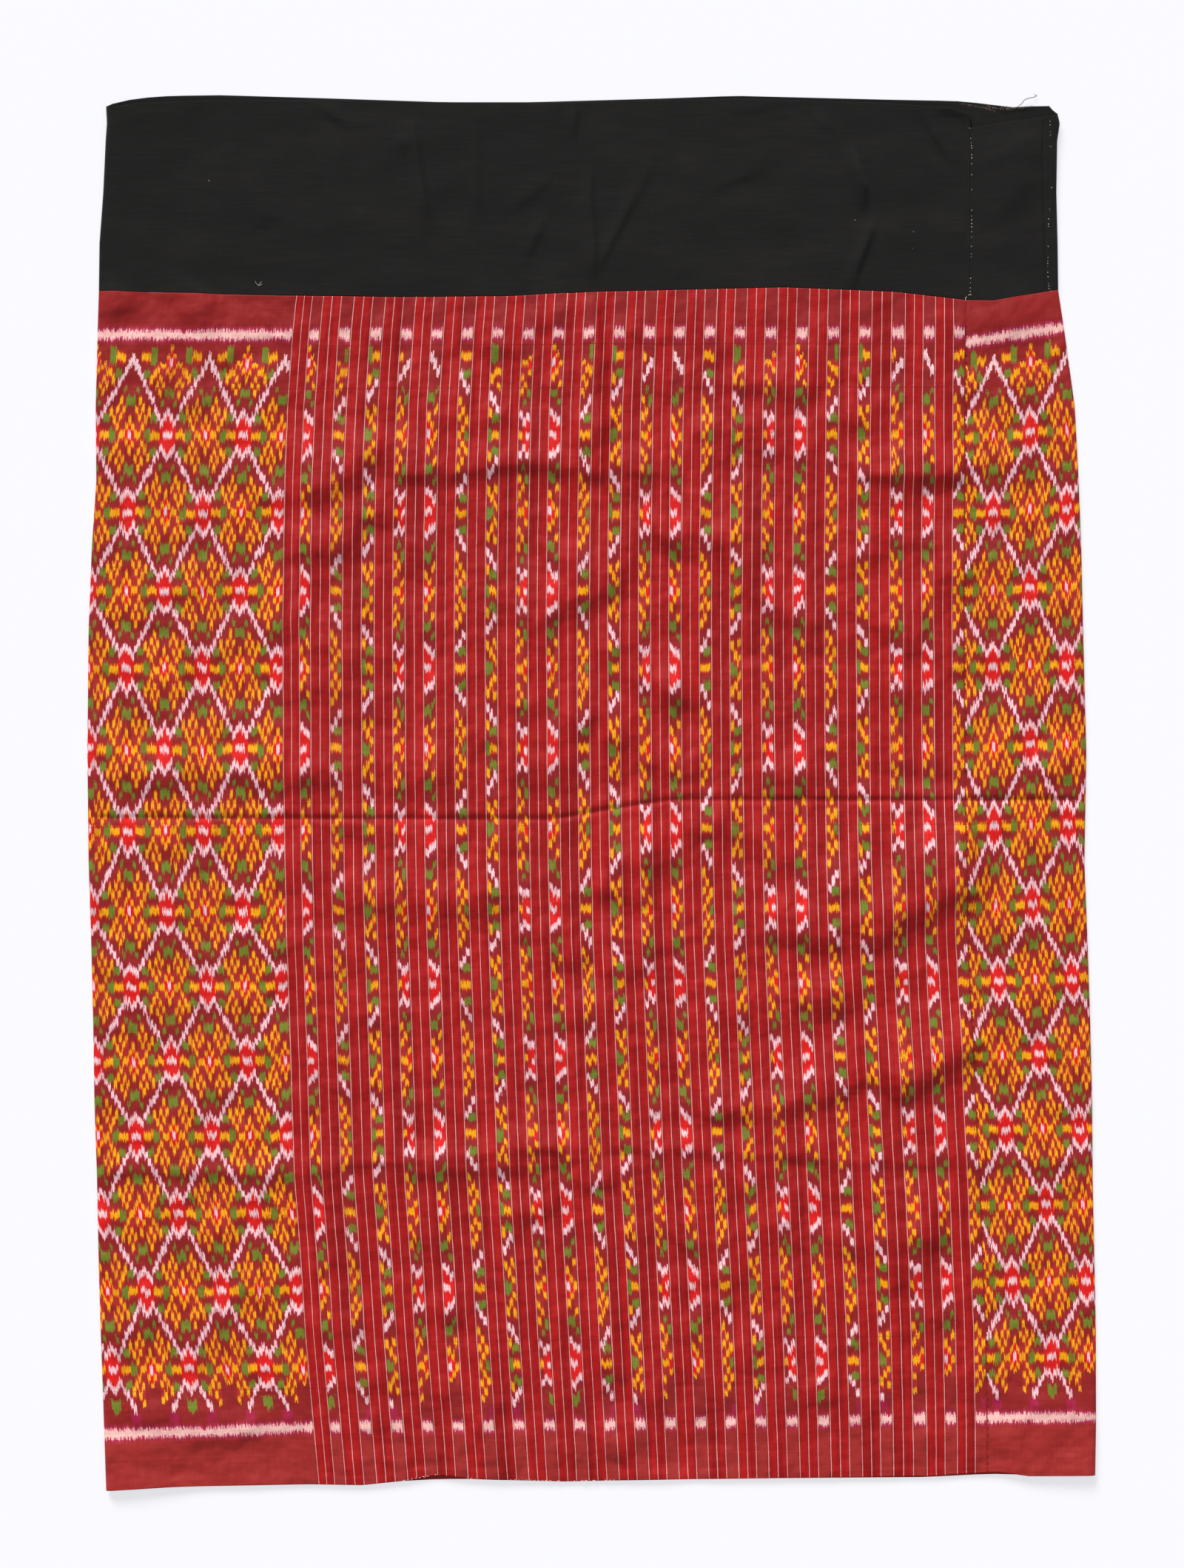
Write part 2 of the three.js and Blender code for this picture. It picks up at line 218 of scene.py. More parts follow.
# Creases of the front layer: a width and a rise in millimetres, and a route on the flank that faces the hem.
# A raised crease has its crest on the waist side of the route, and a sunk one its bottom on the hem side.
CREASES = {
    "upper_long": (8, 4.4, [(-160, 244), (-130, 245), (-101, 246), (-74, 252), (-50, 254), (-28, 253),
                            (-5, 249)]),
    "upper_long_right": (7, 1.8, [(-20, 251), (10, 249), (60, 246), (85, 246)]),
    "upper_long_knot": (7, 1.8, [(28, 249), (45, 247), (64, 245)]),
    "upper_right": (8, 4.8, [(198, 245), (225, 244), (255, 243), (300, 243)]),
    "upper_right_above": (11, 2, [(235, 262), (270, 260), (300, 262)]),
    "upper_left_slant": (13, 5.6, [(-238, 222), (-214, 229), (-196, 236), (-180, 246), (-170, 262),
                                   (-158, 284)]),
    "upper_left_branch": (10, 3.8, [(-190, 205), (-166, 211), (-142, 217)]),
    "left_edge_patch": (11, 3.4, [(-246, 185), (-220, 182), (-196, 186), (-172, 193)]),
    "left_patch": (11, 4, [(-260, 128), (-238, 125), (-216, 122)]),
    "left_patch_lower": (8, 3, [(-232, 107), (-214, 109), (-196, 112)]),
    "left_slant_low": (8, 2.6, [(-207, 90), (-186, 94), (-164, 100)]),
    "left_slant_lowest": (10, 3.4, [(-252, 70), (-222, 78), (-194, 85)]),
    "upper_patch": (14, 4.2, [(-138, 279), (-108, 284), (-84, 286)]),
    "upper_patch_right": (8, 2.4, [(-90, 285), (-72, 288), (-54, 292)]),
    "top_patch": (12, 3.2, [(-96, 337), (-74, 341), (-50, 343)]),
    "top_patch_right": (10, 2.6, [(-44, 361), (-26, 368), (-10, 373)]),
    "hook_above": (8.5, 4.2, [(-18, 268), (-2, 274), (10, 279), (26, 285)]),
    "top_short": (7, 2.6, [(0, 329), (16, 331), (34, 333)]),
    "top_short_right": (8, 3.6, [(86, 337), (105, 343), (124, 350)]),
    "upper_short_right": (9, 4.4, [(102, 319), (124, 312), (150, 308), (180, 303)]),
    "upper_upright_right": (10, 3.4, [(216, 276), (221, 294), (226, 314)]),
    "upper_short": (6, 2.8, [(72, 277), (100, 278), (128, 279), (158, 278)]),
    "upper_short_under": (5.5, 1.6, [(122, 262), (150, 263), (182, 264)]),
    "upper_right_slant": (11, 5, [(26, 208), (50, 199), (66, 191), (86, 181)]),
    "upper_right_slant_low": (10, 5, [(80, 201), (98, 188), (112, 177), (130, 167)]),
    "upper_right_knot": (7, 2.8, [(102, 158), (120, 156), (138, 154)]),
    "upper_right_slant_end": (10, 5, [(120, 144), (146, 136), (166, 128), (184, 119)]),
    "middle_hook_top": (7, 3, [(-48, 178), (-26, 177), (-8, 174), (10, 168), (28, 159)]),
    "upper_middle_hook": (9, 4.4, [(-44, 112), (-36, 126), (-24, 140), (-8, 147), (12, 150), (28, 154)]),
    "small_knot": (6, 3.4, [(-2, 104), (12, 105), (28, 106)]),
    "fine_right_line": (4, -1.2, [(78, 114), (150, 112), (224, 109)]),
    "right_patch": (10, 4.8, [(216, 117), (236, 120), (252, 122), (268, 120)]),
    "right_patch_tail": (6, 2.4, [(234, 110), (250, 111), (266, 112)]),
    "right_upright_high": (9, 3.6, [(231, 170), (232, 194), (231, 220)]),
    "centre_right_patch": (10, 4.8, [(46, 62), (62, 66), (78, 69), (94, 76)]),
    "centre_slant": (7, 2, [(0, 93), (34, 82), (78, 73)]),
    "centre_left_patch": (12, 3.4, [(-70, 58), (-50, 60), (-32, 62)]),
    "centre_left_low": (9, 2.8, [(-114, 37), (-92, 39), (-68, 43)]),
    "centre_knot": (9, 3.4, [(-34, 51), (-16, 47), (2, 41)]),
    "centre_patch": (13, 4.2, [(2, 34), (26, 36), (50, 40)]),
    "left_of_centre": (12, 2.8, [(-392, 4), (-330, 4), (-270, 6), (-205, 9)]),
    "middle_left_swell": (14, 2.2, [(-262, 11), (-215, 9), (-160, 12)]),
    "middle_left_patch": (13, 3.6, [(-156, 6), (-128, 7), (-96, 10)]),
    "middle_left_end": (10, 3.4, [(-72, 6), (-43, 7), (-14, 8)]),
    "middle_hook": (9, 4.4, [(32, 23), (56, 18), (72, 11), (90, 5)]),
    "middle_right": (8, 3.4, [(118, 6), (150, 6), (184, 6)]),
    "right_thin": (5, 1.8, [(228, 16), (262, 17), (302, 18)]),
    "right_of_centre": (10, 2.8, [(298, 4), (340, 6), (384, 10)]),
    "right_edge_patch": (11, 3.4, [(266, 160), (290, 164), (314, 168)]),
    "right_patch_low": (9, 2.2, [(226, 68), (244, 70), (264, 72)]),
    "left_faint": (8, 1.8, [(-150, 185), (-130, 188), (-112, 190)]),
    "left_thin": (6, 1.6, [(-92, 148), (-74, 149), (-56, 151)]),
    "left_thin_low": (8, 1.7, [(-152, 122), (-130, 124), (-108, 126)]),
    "under_fold_left": (6, 1.8, [(-217, -31), (-190, -30), (-163, -29)]),
    "under_fold_patch": (12, 2.8, [(-147, -50), (-115, -50), (-88, -46)]),
    "below_centre_right": (8, 3.6, [(64, -40), (88, -34), (120, -27)]),
    "below_centre": (8.5, 4.6, [(8, -64), (24, -61), (42, -58), (68, -53)]),
    "right_high_knot": (9, 2.4, [(136, -65), (150, -60), (164, -55)]),
    "right_high_patch": (14, 4.2, [(163, -82), (196, -80), (230, -76)]),
    "right_high": (12, 4.8, [(230, -69), (256, -62), (284, -52), (308, -46)]),
    "right_strong": (15, 9, [(204, -133), (224, -122), (243, -108), (260, -98), (278, -88), (300, -83),
                             (320, -80)]),
    "right_strong_left": (10, 5, [(124, -111), (150, -115), (176, -119), (202, -124)]),
    "right_upright": (13, 6.5, [(204, -180), (205, -160), (204, -138)]),
    "middle_slant": (9, 4, [(-6, -77), (12, -82), (28, -88), (46, -95)]),
    "left_swell": (11, 4.6, [(-208, -79), (-186, -88), (-160, -92), (-126, -95), (-96, -92), (-72, -85),
                             (-54, -79)]),
    "left_edge_low": (10, 3.8, [(-258, -124), (-236, -126), (-214, -124)]),
    "low_middle_left": (8, 3.6, [(-68, -111), (-48, -115), (-22, -119)]),
    "low_middle_thin": (6, 2.8, [(26, -121), (49, -120), (76, -119)]),
    "low_middle_patch": (13, 4, [(-32, -140), (-14, -138), (4, -134)]),
    "low_middle": (8, 4, [(4, -149), (26, -143), (56, -137)]),
    "low_long_faint": (7, 2.3, [(-26, -180), (20, -183), (74, -181)]),
    "low_long_faint_right": (8, 2.3, [(90, -185), (108, -181), (126, -180)]),
    "lower_right": (8, 4.6, [(84, -257), (110, -256), (140, -254), (168, -248), (195, -238), (224, -225)]),
    "lower_right_strong": (12, 7.6, [(228, -248), (246, -239), (262, -230), (280, -218), (296, -206),
                                     (314, -200)]),
    "long_low_left": (5, 2.0, [(-384, -299), (-300, -301), (-225, -301), (-200, -295), (-105, -288),
                               (-74, -284), (-50, -281), (-20, -281)]),
    "long_low_knot": (6, 2, [(-62, -282), (-36, -281), (-10, -282)]),
    "long_low_under": (6, 2.6, [(-150, -300), (-97, -298), (-60, -298), (-38, -296), (-18, -290), (6, -288)]),
    "long_low_patch": (6, 3.4, [(-18, -311), (3, -310), (26, -308)]),
    "long_low_right": (5, 1.7, [(8, -281), (80, -284), (151, -287), (204, -293), (300, -294), (386, -292)]),
    "low_knot_right": (7, 2.3, [(106, -315), (123, -314), (140, -312)]),
    "low_left_short": (7, 3, [(-72, -332), (-48, -333), (-22, -334)]),
    "low_short": (8, 3.4, [(122, -359), (142, -351), (164, -344)]),
    "low_short_left": (10, 2.1, [(56, -356), (74, -354), (94, -352)]),
    "right_low_upright": (16, 6, [(252, -396), (262, -362), (272, -334), (294, -318)]),
    "right_low_knot": (9, 4, [(244, -357), (262, -356), (282, -353)]),
    "low_patch": (10, 2.3, [(96, -389), (112, -384), (128, -377)]),
    "low_left_faint": (13, 2.4, [(-148, -357), (-128, -355), (-106, -353)]),
    "low_left_thin": (7, 2.3, [(-178, -397), (-155, -395), (-136, -392)]),
    "low_left_patch": (9, 2.3, [(-124, -417), (-105, -416), (-86, -414)]),
    "right_lowest": (9, 3.2, [(242, -416), (270, -414), (302, -412)]),
    "hem_centre_patch": (11, 3.6, [(0, -463), (19, -460), (38, -454)]),
    "hem_centre_high": (10, 2.1, [(-8, -436), (11, -435), (30, -432)]),
    "hem_right_short": (8, 3, [(104, -459), (130, -455), (158, -451)]),
    "hem_slant": (9, 4, [(44, -490), (60, -470), (86, -447)]),
    "hem_left_slant": (8, 2.8, [(-116, -486), (-104, -470), (-92, -456)]),
    "hem_fan": (8, 3, [(-52, -534), (-66, -505), (-90, -482)]),
    "hem_fan_right": (9, 3.4, [(20, -530), (34, -514), (52, -500)]),
    "hem_right_patch": (8.5, 3.2, [(158, -483), (178, -474), (202, -467)]),
    "corner_ripple": (8, 2.8, [(-374, -486), (-350, -496), (-300, -506), (-250, -508)]),
    "waist_strip_slant": (10, 4, [(-386, 366), (-374, 370), (-360, 380), (-350, 390)]),
    "waist_strip_slant_2": (10, 4, [(-312, 360), (-302, 372), (-292, 384), (-288, 390)]),
    "waist_strip_right": (10, 3.6, [(318, 352), (336, 366), (356, 386)]),
    "tuck": (5, 3.6, [(9, 240), (9, 300), (8, 350), (5, 392)]),
    "band_slant_left": (3.2, 2.3, [(-122, 434), (-130, 470), (-136, 510), (-139, 536)]),
    "band_slant_left_top": (3, 1.3, [(-139, 506), (-146, 512), (-150, 518)]),
    "band_upright_left": (3, 1.2, [(-86, 440), (-88, 495), (-90, 532)]),
    "band_upright": (3, 2.2, [(3, 392), (4, 430), (1, 462), (2, 500)]),
    "band_upright_top": (3, 1.8, [(-14, 506), (-12, 524), (-9, 544)]),
    "band_bow_low": (3, 2.8, [(202, 386), (212, 416), (222, 442), (226, 458)]),
    "band_bow_high": (3, 4.8, [(216, 448), (215, 474), (209, 496), (204, 512)]),
    "band_middle_slant": (3, 1.7, [(2, 398), (18, 432), (34, 462), (46, 484)]),
    "band_middle_slant_high": (3.5, 1.2, [(34, 462), (44, 480), (52, 504)]),
    "band_short": (3, 1.4, [(-54, 404), (-44, 430), (-28, 460)]),
    "band_short_high": (3.5, 1.0, [(-78, 446), (-56, 458), (-34, 476), (-24, 496)]),
    "band_top_left": (3.5, 1.8, [(-222, 541), (-204, 528), (-183, 516)]),
    "band_top_right": (3, -2.4, [(254, 537), (262, 522), (272, 505), (286, 484)]),
    "band_top_right_line": (3, 1.0, [(249, 512), (262, 510), (276, 508)]),
    "band_top_right_bow": (4, 2, [(262, 533), (279, 532), (292, 528), (297, 519)]),
    "band_right_slant": (4, 1.2, [(78, 464), (110, 476), (148, 492)]),
    "band_right_ripple": (4, 0.9, [(96, 528), (124, 532), (160, 540)]),
    "band_top_nick": (3, 1.5, [(170, 534), (178, 524), (184, 512)]),
    "band_far_left": (5, 1.6, [(-246, 446), (-262, 474), (-273, 494), (-283, 512)]),
    "insert_slant": (9, 1.6, [(312, 436), (332, 462), (352, 488)]),
}

# The same kind of creases lift the back layer off the surface here and there
BACK_CREASES = {
    "back_upper": (14, 0.9, [(-260, 225), (-120, 246), (40, 232), (170, 250)]),
    "back_upper_slant": (12, 0.8, [(120, 160), (190, 120), (270, 96)]),
    "back_left_slant": (13, 0.8, [(-330, 120), (-270, 90), (-230, 40)]),
    "back_centre": (9, 0.9, [(-360, -16), (-120, -20), (150, -8), (350, -10)]),
    "back_lower_slant": (14, 0.9, [(-60, -160), (60, -190), (200, -180)]),
    "back_left_low": (12, 0.7, [(-310, -210), (-200, -236), (-110, -220)]),
    "back_long_low": (10, 0.8, [(-350, -292), (-60, -286), (180, -300), (350, -290)]),
    "back_hem_slant": (13, 0.9, [(30, -450), (90, -420), (170, -410)]),
    "back_hem_left": (12, 0.7, [(-240, -480), (-190, -440), (-160, -400)]),
    "back_band": (10, 0.7, [(-150, 520), (-130, 470), (-120, 420)]),
    "back_band_right": (10, 0.7, [(120, 515), (150, 470), (160, 410)]),
}

# How creases are shaped: how far the crest stands from the route and the gentle flank reaches, in widths, and
# how long each end takes to fade out, in widths and as a share of the route. Narrow ones fade more slowly.
CREST_OFFSET = 0.75
GENTLE_FLANK = 2.4
CREASE_STRENGTH = 1.24
CREASE_FADE, CREASE_FADE_SHARE = 1.8, 0.34
NARROW_CREASE = 4.6
NARROW_FADE, NARROW_FADE_SHARE = 34 * MM, 0.46

# The fold of the skirt across its middle shows as a narrow sunk line beside a low ridge
CENTRE_LINE_DEPTH, CENTRE_LINE_WIDTH = 1.5 * MM, 2.2 * MM
CENTRE_RIDGE_HEIGHT, CENTRE_RIDGE_OFFSET, CENTRE_RIDGE_WIDTH = 1.1 * MM, 6 * MM, 4.5 * MM

# The hem's rolled strip ends in a small step, and the closing seam lies in a groove
HEM_ROLL_WIDTH, HEM_ROLL_HEIGHT, HEM_ROLL_STEP = 6.5 * MM, 0.35 * MM, 0.9 * MM
SEAM_GROOVE_DEPTH, SEAM_GROOVE_WIDTH = 0.5 * MM, 0.9 * MM

# Slow waves all over the cloth: how fast each turns across and up the skirt, where it starts, and its share
SLACK_HEIGHT = 0.25 * MM
SLACK_WAVES = (
    (61, 37, 0.4, 1.0), (-83, 29, 1.9, 0.8), (23, -101, 0.8, 0.9), (113, 71, 2.6, 0.5),
    (-41, 131, 4.4, 0.6), (151, -47, 5.2, 0.4), (17, 173, 3.1, 0.35), (-97, -149, 1.2, 0.3),
    (67, -191, 0.3, 0.3), (-131, 97, 2.2, 0.35), (43, 211, 5.7, 0.22), (-179, 53, 3.8, 0.25),
)

# Creases die out towards the side folds, further in on the back layer
FRONT_EDGE_FADE = (0, 12 * MM)
BACK_EDGE_FADE = (10 * MM, 50 * MM)

# The front layer lies flatter where the insert's top edge crosses it
INSERT_PRESS, INSERT_PRESS_REACH = 0.8, 16 * MM
INSERT_PRESS_STARTS, INSERT_PRESS_ENDS = (286 * MM, 300 * MM), (335 * MM, 362 * MM)


def lerp(a, b, share):
    return a + (b - a) * share


def smoothstep(x, low, high):
    t = np.clip((x - low) / (high - low), 0, 1)
    return t * t * (3 - 2 * t)


def side(name, y):
    return read(SIDES, "y", y, name)


def fold_rise(fold, x, y):
    """How high one soft, straight fold raises the cloth."""
    x1, y1, x2, y2, width, rise = fold
    length = math.hypot(x2 - x1, y2 - y1) * MM
    along_x, along_y = (x2 - x1) * MM / length, (y2 - y1) * MM / length
    away_x, away_y = x - x1 * MM, y - y1 * MM
    along = away_x * along_x + away_y * along_y
    across = away_x * along_y - away_y * along_x
    fade = min(width * 2 * MM, length * 0.5)
    ends = smoothstep(along, -fade, fade) * (1 - smoothstep(along, length - fade, length + fade))
    return rise * MM * ends * np.exp(-(across / (width * MM)) ** 2)


def crease_rise(crease, x, y):
    """How high a crease with a route of several points raises the cloth."""
    width, rise, route = crease
    nearest = np.full(np.broadcast(x, y).shape, 1e9)
    across = np.zeros_like(nearest)
    along = np.zeros_like(nearest)
    travelled = 0.0
    for (x1, y1), (x2, y2) in zip(route, route[1:]):
        length = math.hypot(x2 - x1, y2 - y1) * MM
        unit_x, unit_y = (x2 - x1) * MM / length, (y2 - y1) * MM / length
        away_x, away_y = x - x1 * MM, y - y1 * MM
        share = np.clip(away_x * unit_x + away_y * unit_y, 0, length)
        distance = np.hypot(away_x - share * unit_x, away_y - share * unit_y)
        closer = distance < nearest
        side_sign = np.where(away_y * unit_x - away_x * unit_y >= 0, 1, -1)
        across = np.where(closer, distance * side_sign, across)
        along = np.where(closer, travelled + share, along)
        nearest = np.where(closer, distance, nearest)
        travelled += length
    fade = min(width * CREASE_FADE * MM, travelled * CREASE_FADE_SHARE)
    if width < NARROW_CREASE:
        fade = min(NARROW_FADE, travelled * NARROW_FADE_SHARE)
    ends = smoothstep(along, 0, fade) * (1 - smoothstep(along, travelled - fade, travelled))
    from_crest = across / (width * MM) - math.copysign(CREST_OFFSET, rise)
    gentle = np.where(from_crest * rise > 0, GENTLE_FLANK, 1.0)
    return CREASE_STRENGTH * rise * MM * ends * np.exp(-(from_crest / gentle) ** 2)


def from_side(x, y):
    """How far in from the nearer side fold a place is."""
    return np.minimum(x - side("left", y), side("right", y) - x)


def corner_lift(x, y):
    rim = np.where(y > 0, read(TOP_EDGE, "x", x, "back"), read(HEM, "x", x, "back"))
    return CORNER_LIFT * np.exp(-(from_side(x, y) / CORNER_REACH) ** 2 - ((y - rim) / CORNER_REACH) ** 2)


def fold_gap(name, y):
    return FOLD_GAP + corner_lift(side(name, y), y)


def fold_radius(name, y):
    return SOLID_WALL + fold_gap(name, y) / 2


def flat_end(name, y):
    """Where the flat of the front ends and the side fold begins."""
    return side(name, y) + (1 if name == "left" else -1) * fold_radius(name, y)


def slack(x, y):
    """Slow, shallow unevenness that lies all over loosely spread cloth."""
    waves = (share * np.sin(across * x + up * y + turn) for across, up, turn, share in SLACK_WAVES)
    return SLACK_HEIGHT * sum(waves)


def front_height(x, y):
    """The height of the front layer's outer side."""
    near_side = np.exp(-(from_side(x, y) / CORNER_REACH) ** 2)
    soft = SOFT_FOLD_SHARE * sum(fold_rise(fold, x, y) for fold in SOFT_FOLDS.values())
    away = y - read(CENTRE_FOLD, "x", x, "y")
    centre = -CENTRE_LINE_DEPTH * np.exp(-(away / CENTRE_LINE_WIDTH) ** 2)
    centre += CENTRE_RIDGE_HEIGHT * np.exp(-((away - CENTRE_RIDGE_OFFSET) / CENTRE_RIDGE_WIDTH) ** 2)
    fine = sum(crease_rise(crease, x, y) for crease in CREASES.values()) + slack(x, y)
    loose = LAYER_GAP + soft * (1 - near_side)
    edge_fade = smoothstep(from_side(x, y), *FRONT_EDGE_FADE)
    gap = lerp(loose, FOLD_GAP, near_side) + corner_lift(x, y) + (centre + fine) * edge_fade
    from_insert_top = y - read(INSERT_TOP, "x", x, "front")
    pressed = smoothstep(x, *INSERT_PRESS_STARTS) * (1 - smoothstep(x, *INSERT_PRESS_ENDS))
    pressed = INSERT_PRESS * pressed * np.exp(-(from_insert_top / INSERT_PRESS_REACH) ** 2)
    gap = gap * (1 - pressed)
    # A soft floor under the gap keeps the front layer clear of the back one without a kink
    return SOLID_WALL * 2 + LOWEST_GAP + GAP_SOFTNESS * np.logaddexp(0, (gap - LOWEST_GAP) / GAP_SOFTNESS)


def back_height(x, y):
    """The height of the back layer's outer side, which is on the surface but for a few shallow creases."""
    edge_fade = smoothstep(from_side(x, y), *BACK_EDGE_FADE)
    rise = sum(crease_rise(crease, x, y) for crease in BACK_CREASES.values())
    room = front_height(x, y) - SOLID_WALL * 2 + BACK_ROOM
    return np.minimum(rise * edge_fade, np.maximum(room, 0))


class Column:
    """One line of the cloth that runs down the skirt, and its place on the way round."""

    def __init__(self, stretch, share):
        self.stretch = stretch
        self.share = share

    def back_share(self):
        return {"right_fold": self.share, "left_fold": 1 - self.share, "back": 1}.get(self.stretch, 0)

    def x(self, y):
        left, right = flat_end("left", y), flat_end("right", y)
        if self.stretch == "lattice":
            return lerp(left, side("lattice", y), self.share)
        if self.stretch == "stripes":
            share = np.interp(self.share * STRIPE_COUNT, BAND_NUMBER, BAND_SHARE)
            return lerp(side("lattice", y), side("seam", y), share)
        if self.stretch == "panel":
            return lerp(side("seam", y), right, self.share)
        if self.stretch == "back":
            return lerp(right, left, self.share)
        centre, name, way = (left, "left", -1) if self.stretch == "left_fold" else (right, "right", 1)
        return centre + way * math.sin(math.pi * self.share) * fold_radius(name, y)

    def fold_height(self, y):
        name, way = ("left", -1) if self.stretch == "left_fold" else ("right", 1)
        return fold_radius(name, y) * (1 + way * math.cos(math.pi * self.share))

    def rim(self, rows):
        """The height of a rim, such as the hem, in this column."""
        y = rows["front"][0]
        for _ in range(3):
            x = self.x(y)
            y = lerp(read(rows, "x", x, "front"), read(rows, "x", x, "back"), self.back_share())
        return y

    def cloth_u(self, y):
        """How far round the cloth this column is, in the woven design's own metres."""
        at_left = (flat_end("left", y) - side("lattice", y)) * COLUMN / LEFT_COLUMN
        at_right = STRIPES_WIDTH + (flat_end("right", y) - side("seam", y)) * COLUMN / RIGHT_COLUMN
        left_arc = math.pi * fold_radius("left", y)
        right_arc = math.pi * fold_radius("right", y)
        if self.stretch == "lattice":
            return at_left * (1 - self.share)
        if self.stretch == "stripes":
            return np.full_like(y, self.share * STRIPES_WIDTH)
        if self.stretch == "panel":
            return lerp(STRIPES_WIDTH, at_right, self.share)
        if self.stretch == "right_fold":
            return at_right + right_arc * self.share
        if self.stretch == "left_fold":
            return at_left - left_arc * (1 - self.share)
        whole_way = STRIPES_WIDTH + COLUMN * (COLUMNS_ON_THE_BACK + LATTICE_PHASE - PANEL_PHASE)
        return lerp(at_right + right_arc, at_left - left_arc + whole_way, self.share)

    def cloth_v(self, y):
        """How far up the cloth each height is, counted in the pattern's rows."""
        stops = {
            "lattice": ("left", "lattice"),
            "panel": ("seam_right", "right"),
            "right_fold": ("right", "right"),
            "back": ("right", "left"),
            "left_fold": ("left", "left"),
        }
        if self.stretch == "stripes":
            first_half = self.share < 0.5
            names = ("lattice", "middle") if first_half else ("middle", "seam_left")
            share = self.share * 2 - (0 if first_half else 1)
        else:
            names = stops[self.stretch]
            share = self.share
        heights = lerp(PATTERN_HEIGHTS[names[0]], PATTERN_HEIGHTS[names[1]], share)
        slope = (heights[1] - heights[0]) / (PATTERN_ROW[1] - PATTERN_ROW[0])
        row = np.interp(-y, -heights, PATTERN_ROW)
        above = y > heights[0]
        return -ROW * np.where(above, PATTERN_ROW[0] + (y - heights[0]) / slope, row)


def columns(stretch, count, first=0.0, last=1.0):
    return [Column(stretch, share) for share in np.linspace(first, last, count + 1)]


def spread(start, end, count, crowded):
    """Places from one to the other, closer together near each of the crowded places."""
    fine = np.linspace(start, end, 600)
    density = 1 + sum(extra * np.exp(-((fine - centre) / reach) ** 2) for centre, reach, extra in crowded)
    total = np.concatenate([[0], np.cumsum((density[1:] + density[:-1]) / 2)])
    return np.interp(np.linspace(0, total[-1], count), total, fine)


# How the rows of points lie: steps away from the centre fold, down from the waist seam and down to the hem,
# and rows between them that crowd together near the long creases, by height, reach and extra density
FOLD_STEPS = np.array([0, 1.1, 2.4, 4, 6.2, 9.2, 13, 17.5]) * MM
FOLD_STEPS_END = 22.5 * MM
WAIST_STEPS = np.array([0, 1]) * MM
WAIST_STEPS_END = 3 * MM
HEM_STEPS = np.array([16, 11, 7.2, 6, 3, 0.9, 0]) * MM
HEM_STEPS_END = 22 * MM
UPPER_ROWS, UPPER_CROWDED = 68, [(250 * MM, 20 * MM, 1.1)]
LOWER_ROWS, LOWER_CROWDED = 84, [(-292 * MM, 18 * MM, 1.6), (-240 * MM, 22 * MM, 0.6)]
BAND_ROWS = np.concatenate([[0, 0.006, 0.015], np.linspace(0.03, 0.97, 62), [0.985, 0.994, 1]])


def silk_rows(column):
    """The heights of one column's points: close together at the centre fold, the waist seam and the hem."""
    top = column.rim(WAIST_SEAM) - SEAM_GAP / 4
    bottom = column.rim(HEM)
    fold = float(read(CENTRE_FOLD, "x", column.x(0.0), "y"))
    upper = spread(fold + FOLD_STEPS_END, top - WAIST_STEPS_END, UPPER_ROWS, UPPER_CROWDED)[::-1]
    lower = spread(fold - FOLD_STEPS_END, bottom + HEM_STEPS_END, LOWER_ROWS, LOWER_CROWDED)
    near_fold = [fold + FOLD_STEPS[::-1], fold - FOLD_STEPS[1:]]
    return np.concatenate([top - WAIST_STEPS, upper, *near_fold, lower, bottom + HEM_STEPS])


def band_rows(column, top_edge):
    """The heights of one column's points on the waistband or its insert."""
    return lerp(column.rim(top_edge), column.rim(WAIST_SEAM) + SEAM_GAP / 4, BAND_ROWS)


def heights(ring, x, y, silk):
    """The outer side's height at every point, with the silk's rolled hem and the groove along its seam."""
    z = np.zeros_like(x)
    stretches = np.array([column.stretch for column in ring])
    back = stretches == "back"
    front = np.isin(stretches, ["lattice", "stripes", "panel"])
    z[front] = front_height(x[front], y[front])
    z[back] = back_height(x[back], y[back])
    for index in np.flatnonzero(~front & ~back):
        z[index] = ring[index].fold_height(y[index])
    if silk:
        past_roll = (y - y[:, -1:])[front] - HEM_ROLL_WIDTH
        z[front] += HEM_ROLL_HEIGHT * (1 - smoothstep(past_roll, 0, HEM_ROLL_STEP))
        from_seam = (x - side("seam", y))[front]
        z[front] -= SEAM_GROOVE_DEPTH * np.exp(-(from_seam / SEAM_GROOVE_WIDTH) ** 2)
    return z


def in_scene(name, data):
    """A new object at the origin with the given mesh, curve, camera or lamp."""
    made = bpy.data.objects.new(name, data)
    bpy.context.scene.collection.objects.link(made)
    return made


